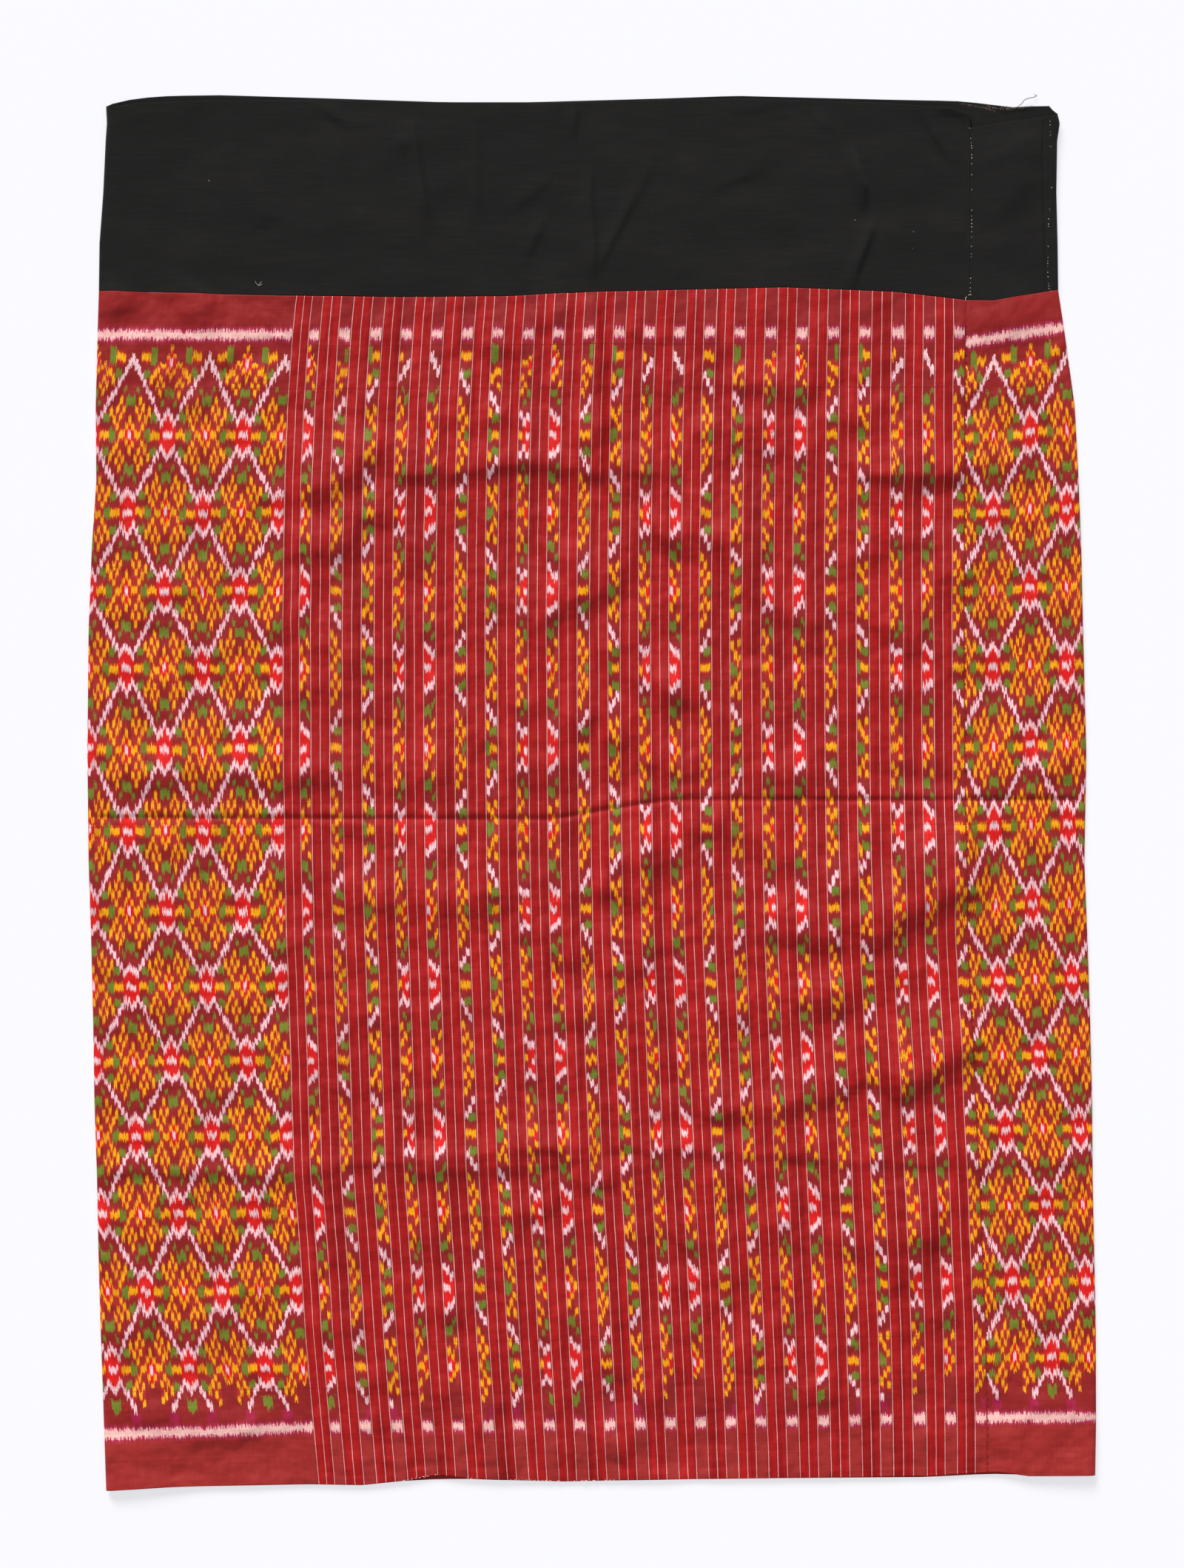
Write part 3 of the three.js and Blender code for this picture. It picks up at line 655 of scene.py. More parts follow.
def cloth_piece(name, ring, rows_of, closed, material, silk=False):
    """A sheet of cloth over a ring of columns, given its thickness inwards."""
    count = len(ring)
    y = np.array([rows_of(column) for column in ring])
    x = np.array([column.x(heights_down) for column, heights_down in zip(ring, y)])
    grid = np.stack([x, y, heights(ring, x, y, silk)], axis=2)
    rows = grid.shape[1]
    placed = list(zip(ring, y))
    if closed:
        placed.append((Column("back", 1.0), y[0]))
    cloth_uv = [np.stack([column.cloth_u(down), column.cloth_v(down)], axis=1) for column, down in placed]
    faces = []
    corners = []
    for c in range(count if closed else count - 1):
        following = (c + 1) % count
        for r in range(rows - 1):
            faces.append((c * rows + r, c * rows + r + 1, following * rows + r + 1, following * rows + r))
            corners += [(c, r), (c, r + 1), (c + 1, r + 1), (c + 1, r)]
    mesh = bpy.data.meshes.new(name)
    mesh.from_pydata(grid.reshape(-1, 3).tolist(), [], faces)
    layer = mesh.uv_layers.new(name="cloth")
    index = np.array(corners)
    layer.data.foreach_set("uv", np.array(cloth_uv)[index[:, 0], index[:, 1]].astype(np.float32).ravel())
    mesh.shade_smooth()
    mesh.materials.append(material)
    piece = in_scene(name, mesh)
    wall = piece.modifiers.new("cloth_thickness", "SOLIDIFY")
    wall.thickness = CLOTH_THICKNESS
    wall.offset = -1
    wall.use_rim = True
    return piece


class Nodes:
    """Writes a material's or a group's nodes in the order in which they are worked out."""

    def __init__(self, tree):
        self.tree = tree

    def node(self, kind, settings=None, **inputs):
        made = self.tree.nodes.new(kind)
        for key, value in (settings or {}).items():
            setattr(made, key, value)
        for key, value in inputs.items():
            self.put(made.inputs[key.replace("_", " ")], value)
        return made

    def put(self, socket, value):
        if isinstance(value, bpy.types.NodeSocket):
            self.tree.links.new(value, socket)
        elif value is not None:
            socket.default_value = value

    def math(self, operation, a, b=None, c=None):
        made = self.node("ShaderNodeMath", {"operation": operation})
        for socket, value in zip(made.inputs, (a, b, c)):
            self.put(socket, value)
        return made.outputs[0]

    def add(self, a, b):
        return self.math("ADD", a, b)

    def sub(self, a, b):
        return self.math("SUBTRACT", a, b)

    def mul(self, a, b):
        return self.math("MULTIPLY", a, b)

    def over(self, a, b):
        return self.math("GREATER_THAN", a, b)

    def under(self, a, b):
        return self.math("LESS_THAN", a, b)

    def smooth(self, value, low, high, start=0.0, end=1.0, curve="SMOOTHSTEP"):
        made = self.node("ShaderNodeMapRange", {"interpolation_type": curve})
        for socket, item in zip(made.inputs, (value, low, high, start, end)):
            self.put(socket, item)
        return made.outputs[0]

    def mix(self, share, a, b):
        made = self.node("ShaderNodeMix", {"data_type": "RGBA", "clamp_factor": True})
        self.put(made.inputs[0], share)
        self.put(made.inputs[6], a)
        self.put(made.inputs[7], b)
        return made.outputs[2]

    def blend(self, share, a, b):
        made = self.node("ShaderNodeMix", {"data_type": "FLOAT", "clamp_factor": True})
        self.put(made.inputs[0], share)
        self.put(made.inputs[2], a)
        self.put(made.inputs[3], b)
        return made.outputs[0]

    def point(self, x, y, z):
        made = self.node("ShaderNodeCombineXYZ")
        for socket, value in zip(made.inputs, (x, y, z)):
            self.put(socket, value)
        return made.outputs[0]

    def noise(self, where, scale, detail=2.0, roughness=0.5):
        made = self.node("ShaderNodeTexNoise", Vector=where, Scale=scale, Detail=detail, Roughness=roughness)
        return made.outputs[0]

    def clouds(self, x, x_scale, y, y_scale, place, detail=2.0):
        """Noise over two directions, each with its own scale, at a place of its own in the third."""
        return self.noise(self.point(self.mul(x, x_scale), self.mul(y, y_scale), place), 1.0, detail)

    def sway(self, value, breadth):
        """A value from 0 to 1, made into one to either side of nothing."""
        return self.mul(self.sub(value, 0.5), breadth)

    def scatter(self, number):
        """A steady random value from 0 to 1 for each whole number."""
        made = self.node("ShaderNodeTexWhiteNoise", {"noise_dimensions": "1D"})
        self.put(made.inputs["W"], number)
        return made.outputs[0]

    def ramp(self, share, stops):
        made = self.node("ShaderNodeValToRGB")
        elements = made.color_ramp.elements
        for index, (position, colour) in enumerate(stops):
            element = elements[index] if index < 2 else elements.new(position)
            element.position = position
            element.color = colour
        self.put(made.inputs[0], share)
        return made.outputs[0]


def colour(red, green, blue):
    """A colour as it is seen, 0 to 255, made into the linear values that shaders take."""
    def linear(value):
        value /= 255
        return value / 12.92 if value <= 0.04045 else ((value + 0.055) / 1.055) ** 2.4
    return (linear(red), linear(green), linear(blue), 1.0)


BRICK = colour(148, 34, 34)
# The plain strip above the hem is painted lighter than the same ground at the waist: painted light
HEM_BRICK_PAINTED_LIGHTER = colour(160, 43, 40)
WARM_BRICK = colour(172, 44, 42)
CRIMSON = colour(226, 24, 22)
YELLOW = colour(254, 176, 8)
GREEN = colour(110, 135, 40)
PINK = colour(254, 208, 212)
CREAM = colour(248, 194, 184)
MAGENTA = colour(184, 26, 92)
BORDER_HALO = colour(196, 52, 106)
ORANGE_RED = colour(206, 46, 18)
DULL_GREEN = colour(126, 62, 28)
STRIPE_RED = colour(178, 22, 22)
STRIPE_DARK = colour(142, 14, 16)
WHITE_THREAD = colour(246, 160, 152)
# Painted shadow on both sides of each thin white yarn in the stripes
PAINTED_THREAD_SHADOW = colour(100, 12, 30)
BLACK_COTTON = colour(26, 25, 24)
WORN_COTTON = colour(48, 46, 44)
SILK_SHEEN = colour(235, 150, 140)
DYES = {"P": PINK, "R": CRIMSON, "Y": YELLOW, "G": GREEN, "g": BRICK, "o": WARM_BRICK}
EDGE_DYES = {
    "Yg": ORANGE_RED, "Yo": ORANGE_RED, "Pg": MAGENTA, "Gg": DULL_GREEN, "Go": DULL_GREEN, "GP": MAGENTA,
    "GY": ORANGE_RED,
}

# The ikat's repeat, drawn up. For each column of the lozenge, from its corner flower outwards, it has
# the dyes down half of the drop, each with the twenty-fourth at which it ends.
REPEAT_COLUMNS = (
    "P1.1 R5.8 P8 g11.5 G14.6 g17.6 Y20.3 R22.9 P24",
    "P1 R4.5 P6.7 g11.5 G15 g20.3 Y22.4 R24",
    "R3.2 P5.6 g8.9 G11.1 g15.1 Y17.6 o22.6 Y24",
    "Y1.3 g4.9 P7.4 g12.2 Y14.9 o17.4 Y19.9 o22.7 Y24",
    "Y1.3 g3.8 G6.7 P9.4 g14.8 Y17.5 o20.2 Y22.6 o24",
    "Y1.3 g3.7 G6.5 g9 P11.9 g17.8 Y20.7 o22.3 G24",
    "G2.2 g5.3 Y8.5 g10.6 P13.6 g15.4 Y18.6 g21.7 G24",
)
HALF_DROP = 24
HALF_REPEAT = 12
INNER_FEATHER, OUTER_FEATHER, RED_FRINGE = 0.5, 0.25, 0.75

# A bundle has four yarns, or six fine ones in the borders. The dye on each yarn and on each bundle drifts a
# little up and down the cloth.
YARNS_IN_BUNDLE, FINE_YARNS_IN_BUNDLE = 4, 6
YARN_SHIFT, YARN_DRIFT, BUNDLE_DRIFT = 2.8 * MM, 5.0 * MM, 8.0 * MM
WAVER = 0.5 * MM

# The lattice breaks off at the foot: the first and last of some columns, counted out from the flower, and how
# far down the last drop they stop
LAST_WHOLE_ROW = 12.0
FOOT_GAPS = ((2.5, 5.5, 12.0), (6.5, 13.0, 11.2), (9.5, 13.0, 5.0), (-1.0, 2.5, 9.2), (-1.0, 13.0, 14.0))

# The pale borders, by their middle and half their width in rows, and where the plain strip below the lower
# border starts
BORDERS = ((-1.284, 0.046), (12.82, 0.050))
HEM_STRIP_STARTS = (12.78, 12.9)

# How far the painted shadow and the white thread of each line reach from its middle, in millimetres
LINE_SHADE_REACH, WHITE_LINE_REACH = (1.15, 0.62), (0.38, 0.20)
LINES_START, LINES_END = -0.9 * MM, STRIPES_WIDTH - 1.2 * MM

# How high the small rumples stand that lie all over the silk
RUMPLE_HEIGHT = 9 * MM

# Single dark picks of the other yarn that run right across the cloth, by pattern row and strength; the two at
# rows 4.66 and 4.96 are painted shade along the centre fold
DARK_PICKS_AND_FOLD_SHADE = ((-1.14, 0.65), (-0.60, 0.6), (4.66, 0.3), (4.96, 0.3), (11.69, 0.35), (12.28, 0.4), (13.2, 0.3))


def repeat_stops(column):
    """A column of the repeat as stops along a ramp, with feathered ends where one dye meets the next."""
    parts = [(part[0], float(part[1:])) for part in column.split()]
    fringe = {pair: RED_FRINGE for pair in ("Yg", "gY", "Yo", "oY")}
    stops = [(0.0, DYES[parts[0][0]])]
    for index, (dye, end) in enumerate(parts[:-1]):
        after, after_end = parts[index + 1]
        start = parts[index - 1][1] if index else 0.0
        outer_feather = fringe.get(dye + after, OUTER_FEATHER)
        before_edge = max(end - INNER_FEATHER, (start + end) / 2)
        after_edge = min(end + outer_feather, (end + after_end) / 2)
        if dye in "go":
            before_edge = max(end - outer_feather, (start + end) / 2)
            after_edge = min(end + INNER_FEATHER, (end + after_end) / 2)
        edge_dye = EDGE_DYES.get(dye + after) or EDGE_DYES.get(after + dye)
        stops.append((before_edge / HALF_DROP, DYES[dye]))
        if edge_dye:
            stops.append((end / HALF_DROP, edge_dye))
        stops.append((after_edge / HALF_DROP, DYES[after]))
    return stops


def new_group(name, kind_of_tree, inputs, outputs):
    """A node group with named inputs and outputs, and a writer for its nodes."""
    tree = bpy.data.node_groups.new(name, kind_of_tree)
    for label, kind, value in inputs:
        socket = tree.interface.new_socket(label, in_out="INPUT", socket_type=kind)
        if value is not None:
            socket.default_value = value
    for label, kind in outputs:
        tree.interface.new_socket(label, in_out="OUTPUT", socket_type=kind)
    writer = Nodes(tree)
    return writer, writer.node("NodeGroupInput").outputs, writer.node("NodeGroupOutput").inputs


def plain_weave_group():
    """The over and under of warp and weft, as a height and as a shade that varies from yarn to yarn."""
    s, given, result = new_group("plain_weave", "ShaderNodeTree", [
        ("Cloth", "NodeSocketVector", None),
        ("Weft Pitch", "NodeSocketFloat", 0.0005),
        ("Warp Pitch", "NodeSocketFloat", 0.0004),
        ("Slub", "NodeSocketFloat", 0.3),
    ], [("Height", "NodeSocketFloat"), ("Yarn Shade", "NodeSocketFloat")])
    apart = s.node("ShaderNodeSeparateXYZ", Vector=given["Cloth"]).outputs
    weft = s.math("DIVIDE", apart[0], given["Weft Pitch"])
    warp = s.math("DIVIDE", apart[1], given["Warp Pitch"])
    weft_wave = s.math("SINE", s.mul(weft, math.tau))
    warp_wave = s.math("SINE", s.mul(warp, math.tau))
    height = s.mul(weft_wave, warp_wave)
    along_weft = s.clouds(weft, 0.5, apart[1], 45, 0.0)
    along_warp = s.clouds(apart[0], 45, warp, 0.5, 7.0)
    shade = s.sub(s.add(along_weft, along_warp), 1.0)
    s.put(result["Height"], s.add(height, s.mul(shade, given["Slub"])))
    s.put(result["Yarn Shade"], shade)
    return s.tree


def cloth_material(name, **looks):
    """A cloth material with steady looks: itself, its writer, the place on the cloth and its shader."""
    material = bpy.data.materials.new(name)
    material.use_nodes = True
    material.node_tree.nodes.clear()
    s = Nodes(material.node_tree)
    cloth = s.node("ShaderNodeUVMap", {"uv_map": "cloth"}).outputs[0]
    shader = s.node("ShaderNodeBsdfPrincipled", **looks)
    output = s.node("ShaderNodeOutputMaterial")
    s.tree.links.new(shader.outputs[0], output.inputs[0])
    return material, s, cloth, shader


def woven(s, weave, **sizes):
    """The weave's height and yarn shade in one material, with its own sizes."""
    group = s.node("ShaderNodeGroup", {"node_tree": weave}, **sizes)
    return group.outputs["Height"], group.outputs["Yarn Shade"]


def ikat_silk(weave):
    """The silk: lozenge lattice, stripes with narrow ikat bands, pale borders and plain selvedge strips."""
    material, s, cloth, shader = cloth_material(
        "ikat_silk", Specular_IOR_Level=0.15, Sheen_Weight=0.03, Sheen_Roughness=0.45, Sheen_Tint=SILK_SHEEN)
    apart = s.node("ShaderNodeSeparateXYZ", Vector=cloth).outputs
    across, up = apart[0], apart[1]

    # Each weft yarn, and each bundle that was dyed together, lies a little higher or lower than the next
    yarn = s.math("FLOOR", s.math("DIVIDE", across, COLUMN / YARNS_IN_BUNDLE))
    bundle = s.math("FLOOR", s.math("DIVIDE", across, COLUMN))
    yarn_drift = s.sway(s.clouds(yarn, 1.7, up, 34, 0.0, 1.0), YARN_DRIFT)
    bundle_drift = s.sway(s.clouds(bundle, 2.3, up, 26, 4.0, 1.0), BUNDLE_DRIFT)
    shift = s.add(s.sway(s.scatter(yarn), YARN_SHIFT), s.add(yarn_drift, bundle_drift))
    row = s.math("DIVIDE", s.add(up, shift), -ROW)
    steady_row = s.math("DIVIDE", up, -ROW)
    in_bundle = s.math("ABSOLUTE", s.sub(s.math("FRACT", s.math("DIVIDE", across, COLUMN)), 0.5))

    # Which column of the repeat each place is in
    wavered = s.add(across, s.sway(s.clouds(across, 300, up, 60, 2.0), WAVER))
    in_stripes = s.mul(s.over(across, 0.0), s.under(across, STRIPES_WIDTH))
    in_panel = s.over(across, STRIPES_WIDTH)
    lattice_column = s.add(s.math("DIVIDE", wavered, COLUMN), LATTICE_PHASE)
    panel_column = s.add(s.math("DIVIDE", s.sub(wavered, STRIPES_WIDTH), COLUMN), PANEL_PHASE)
    stripe_place = s.math("DIVIDE", wavered, STRIPE_PERIOD)
    stripe_number = s.math("FLOOR", stripe_place)
    stripe_share = s.math("FRACT", stripe_place)
    band_share = s.smooth(stripe_share, IKAT_BAND_START, IKAT_BAND_END, curve="LINEAR")
    band_step = s.math("FLOOR", s.mul(band_share, IKAT_BAND_COLUMNS))
    band_step = s.math("MINIMUM", band_step, IKAT_BAND_COLUMNS - 1)
    band_column = s.add(s.mul(stripe_number, IKAT_BAND_COLUMNS), band_step)
    column = s.blend(in_stripes, s.blend(in_panel, lattice_column, panel_column), band_column)
    from_even = s.math("ROUND", s.math("PINGPONG", column, HALF_REPEAT))
    from_odd = s.sub(HALF_REPEAT, from_even)
    first_drop = s.mul(s.add(row, 1.0), HALF_DROP)
    first_shift = s.mul(s.smooth(first_drop, 14.0, 4.0, 0.0, 2.0), s.under(from_even, 4.5))
    drop = s.math("PINGPONG", s.sub(s.mul(row, HALF_DROP), first_shift), HALF_DROP)
    outer = s.over(from_even, HALF_REPEAT / 2 + 0.5)
    chart_column = s.blend(outer, from_even, from_odd)
    chart_drop = s.math("DIVIDE", s.blend(outer, drop, s.sub(HALF_DROP, drop)), HALF_DROP)
    dyes_and_painted_light = s.ramp(chart_drop, repeat_stops(REPEAT_COLUMNS[0]))
    for number, repeat_column in enumerate(REPEAT_COLUMNS[1:], start=1):
        chosen = s.over(chart_column, number - 0.5)
        dyes_and_painted_light = s.mix(chosen, dyes_and_painted_light, s.ramp(chart_drop, repeat_stops(repeat_column)))

    # The lattice opens with plain peaks at the top, and breaks off in the middle of a row at the foot
    peak_line = s.math("ABSOLUTE", s.sub(first_drop, s.add(s.mul(from_odd, 2.0), 0.2)))
    peak = s.mix(s.under(peak_line, 1.5), BRICK, PINK)
    at_peak = s.mul(s.under(from_odd, 2.5), s.under(first_drop, 9.5))
    dyes_and_painted_light = s.mix(at_peak, dyes_and_painted_light, peak)
    green_end = s.mul(s.over(from_odd, 5.5), s.under(from_odd, 7.5))
    green_end = s.mul(green_end, s.mul(s.over(first_drop, -3.2), s.under(first_drop, -0.3)))
    dyes_and_painted_light = s.mix(green_end, dyes_and_painted_light, GREEN)
    first_mark = s.add(s.mul(s.math("MINIMUM", from_even, 2.0), 2.6), -3.4)
    first_mark = s.blend(s.over(from_even, 4.5), first_mark, -2.1)
    bare = s.mul(s.under(first_drop, first_mark), s.under(green_end, 0.5))
    last_drop = s.mul(s.sub(row, LAST_WHOLE_ROW), HALF_DROP)
    for first, last, end in FOOT_GAPS:
        foot_gap = s.mul(s.mul(s.over(from_even, first), s.under(from_even, last)), s.over(last_drop, end))
        bare = s.math("MAXIMUM", bare, foot_gap)
    dyes_and_painted_light = s.mix(bare, dyes_and_painted_light, BRICK)
    foot_green = s.mul(s.under(from_even, 1.5), s.over(last_drop, s.sub(9.9, s.mul(from_even, 0.5))))
    foot_green = s.mul(foot_green, s.under(last_drop, s.sub(13.8, s.mul(from_even, 1.0))))
    dyes_and_painted_light = s.mix(foot_green, dyes_and_painted_light, GREEN)
    leg_end = s.mul(s.mul(s.over(from_even, 4.5), s.under(from_even, 7.5)), s.over(last_drop, 13.6))
    dyes_and_painted_light = s.mix(s.mul(leg_end, s.smooth(last_drop, 18.5, 14.5, 0.0, 0.6)), dyes_and_painted_light, MAGENTA)

    # A little of the ground shows between one bundle and the next
    between = s.smooth(in_bundle, 0.38, 0.49, 0.0, 0.3)
    dyes_and_painted_light = s.mix(between, dyes_and_painted_light, BRICK)

    # Some bundles took the dye weakly, and all of it is a little cloudy
    faint_bundle = s.smooth(s.scatter(s.add(bundle, 0.5)), 0.80, 1.0, 0.0, 0.34)
    cloud = s.smooth(s.clouds(across, 30, up, 10, 9.0, 3.0), 0.52, 0.78, 0.0, 0.35)
    speckle = s.smooth(s.clouds(across, 1500, up, 420, 3.0), 0.42, 0.72, 0.0, 0.32)
    faint = s.math("MAXIMUM", s.math("MAXIMUM", faint_bundle, cloud), speckle)
    dyes_and_painted_light = s.mix(faint, dyes_and_painted_light, BRICK)
    # Painted light: the plain strip above the hem is lighter than the ground elsewhere
    dyes_and_painted_light = s.mix(s.smooth(steady_row, *HEM_STRIP_STARTS), dyes_and_painted_light, HEM_BRICK_PAINTED_LIGHTER)

    # A pale border runs under the waist seam and another above the hem, spiky where yarns start and stop
    fine_yarn = s.math("FLOOR", s.math("DIVIDE", wavered, COLUMN / FINE_YARNS_IN_BUNDLE))
    undulation = s.sway(s.noise(s.point(s.mul(across, 34), 0.0, 5.0), 1.0), 0.05)
    fullness = s.sway(s.noise(s.point(s.mul(across, 52), 3.0, 1.0), 1.0), 0.09)
    start_shift = s.sway(s.scatter(s.add(fine_yarn, 0.25)), 0.07)
    end_shift = s.sway(s.scatter(s.add(fine_yarn, 0.75)), 0.07)
    missed = s.smooth(s.scatter(s.add(fine_yarn, 0.4)), 0.6, 1.0, 0.98, 0.82)
    for centre, half_width in BORDERS:
        off = s.sub(s.add(steady_row, undulation), centre)
        above = s.add(s.mul(off, -1.0), start_shift)
        below = s.add(off, end_shift)
        edge = s.sub(s.math("MAXIMUM", above, below), s.add(fullness, half_width))
        dyes_and_painted_light = s.mix(s.smooth(edge, 0.058, 0.008, 0.0, 0.9), dyes_and_painted_light, BORDER_HALO)
        dyes_and_painted_light = s.mix(s.mul(s.smooth(edge, 0.008, -0.002), missed), dyes_and_painted_light, CREAM)

    # Two plain red stripes beside each ikat band, with a thin white yarn at every edge and painted shadow on
    # both sides of it
    stripe_cloud = s.clouds(across, 90, up, 4, 1.0)
    yarn_cloud = s.clouds(across, 1500, up, 9, 5.0)
    long_cloud = s.add(s.mul(stripe_cloud, 0.55), s.mul(yarn_cloud, 0.45))
    stripe_red = s.mix(s.smooth(long_cloud, 0.34, 0.62), STRIPE_DARK, STRIPE_RED)
    in_band = s.over(stripe_share, LINE_PLACES[2])
    plain = s.mul(in_stripes, s.sub(1.0, in_band))
    before_band = s.under(stripe_share, IKAT_BAND_START - IKAT_BAND_MARGIN)
    after_band = s.over(stripe_share, IKAT_BAND_END + IKAT_BAND_MARGIN)
    band_edge = s.mul(in_stripes, s.mul(in_band, s.math("MAXIMUM", before_band, after_band)))
    tint = s.mix(band_edge, dyes_and_painted_light, BRICK)
    tint = s.mix(plain, tint, stripe_red)
    line_sway = s.sway(s.clouds(stripe_number, 3.1, up, 12, 6.0), 0.030)
    swayed = s.math("FRACT", s.add(s.add(stripe_place, line_sway), 0.5))
    line_distance = None
    for place in LINE_PLACES:
        distance = s.math("ABSOLUTE", s.sub(swayed, (place + 0.5) % 1.0))
        line_distance = distance if line_distance is None else s.math("MINIMUM", line_distance, distance)
    line_distance = s.mul(line_distance, STRIPE_PERIOD / MM)
    near_stripes = s.mul(s.over(across, LINES_START), s.under(across, LINES_END))
    # Painted shadow on both sides of each white yarn
    thread_shadow_share = s.mul(near_stripes, s.smooth(line_distance, *LINE_SHADE_REACH, 0.0, 0.5))
    white = s.mul(near_stripes, s.smooth(line_distance, *WHITE_LINE_REACH))
    thread_break = s.smooth(s.clouds(stripe_place, 40, up, 900, 8.0, 1.0), 0.3, 0.7, 0.8, 1.0)
    tint = s.mix(thread_shadow_share, tint, PAINTED_THREAD_SHADOW)
    tint = s.mix(s.mul(white, thread_break), tint, WHITE_THREAD)

    # A few dark picks cross the whole cloth, and two painted lines of shade lie along the centre fold
    for place, strength in DARK_PICKS_AND_FOLD_SHADE:
        off = s.math("ABSOLUTE", s.sub(s.add(steady_row, s.mul(undulation, 0.08)), place))
        broken = s.noise(s.point(s.mul(across, 6), place, 0.0), 1.0)
        pick_and_fold_shade = s.mul(s.smooth(off, 0.011, 0.003, 0.0, strength), s.smooth(broken, 0.3, 0.6))
        tint = s.mix(pick_and_fold_shade, tint, STRIPE_DARK)

    height, yarn_shade = woven(s, weave, Cloth=cloth, Weft_Pitch=COLUMN / 5, Warp_Pitch=0.42 * MM, Slub=0.5)
    streak = s.clouds(across, 1100, up, 8, 11.0, 3.0)
    pick_streak = s.clouds(across, 8, up, 520, 12.0)
    shade = s.add(s.mul(yarn_shade, 0.26), s.add(s.mul(streak, 0.28), s.mul(pick_streak, 0.30)))
    shade = s.add(shade, 0.70)
    toned = s.node("ShaderNodeMix", {"data_type": "RGBA", "blend_type": "MULTIPLY"})
    toned.inputs[0].default_value = 1.0
    s.put(toned.inputs[6], tint)
    s.put(toned.inputs[7], s.node("ShaderNodeCombineColor", Red=shade, Green=shade, Blue=shade).outputs[0])
    s.put(shader.inputs["Base Color"], toned.outputs[2])
    s.put(shader.inputs["Roughness"], s.smooth(yarn_shade, -0.5, 0.5, 0.64, 0.52))
    rumple = s.clouds(across, 30, up, 28, 2.0, 2.5)
    rumpled = s.node("ShaderNodeBump", Strength=1.0, Distance=RUMPLE_HEIGHT, Height=rumple).outputs[0]
    bump = s.node("ShaderNodeBump", Strength=0.22, Distance=0.12 * MM, Height=height, Normal=rumpled)
    s.put(shader.inputs["Normal"], bump.outputs[0])
    return material


def black_cotton(weave):
    """Plain black cotton, matt, with a slight greying where it has been creased and handled."""
    material, s, cloth, shader = cloth_material(
        "black_cotton", Roughness=0.88, Specular_IOR_Level=0.15, Sheen_Weight=0.05, Sheen_Roughness=0.5)
    apart = s.node("ShaderNodeSeparateXYZ", Vector=cloth).outputs
    worn = s.noise(s.point(s.mul(apart[0], 9), s.mul(apart[1], 34), 0.0), 1.0, 5.0, 0.6)
    streak = s.clouds(apart[0], 30, apart[1], 700, 3.0)
    height, yarn_shade = woven(s, weave, Cloth=cloth, Weft_Pitch=0.55 * MM, Warp_Pitch=0.5 * MM, Slub=0.6)
    grey = s.add(s.smooth(worn, 0.40, 0.75, 0.04, 0.22), s.sway(streak, 0.5))
    grey = s.math("MAXIMUM", s.add(grey, s.mul(yarn_shade, 0.16)), 0.0)
    s.put(shader.inputs["Base Color"], s.mix(grey, BLACK_COTTON, WORN_COTTON))
    bump = s.node("ShaderNodeBump", Strength=0.35, Distance=0.15 * MM, Height=height)
    s.put(shader.inputs["Normal"], bump.outputs[0])
    return material


def thread_material(name, light, dark, roughness):
    """Sewing thread or a loose yarn: two close colours along its twist."""
    material = bpy.data.materials.new(name)
    material.use_nodes = True
    s = Nodes(material.node_tree)
    shader = material.node_tree.nodes["Principled BSDF"]
    where = s.node("ShaderNodeTexCoord").outputs["Object"]
    twist = s.noise(where, 2600.0)
    s.put(shader.inputs["Base Color"], s.mix(twist, dark, light))
    shader.inputs["Roughness"].default_value = roughness
    bump = s.node("ShaderNodeBump", Strength=0.3, Distance=0.05 * MM, Height=twist)
    s.put(shader.inputs["Normal"], bump.outputs[0])
    return material


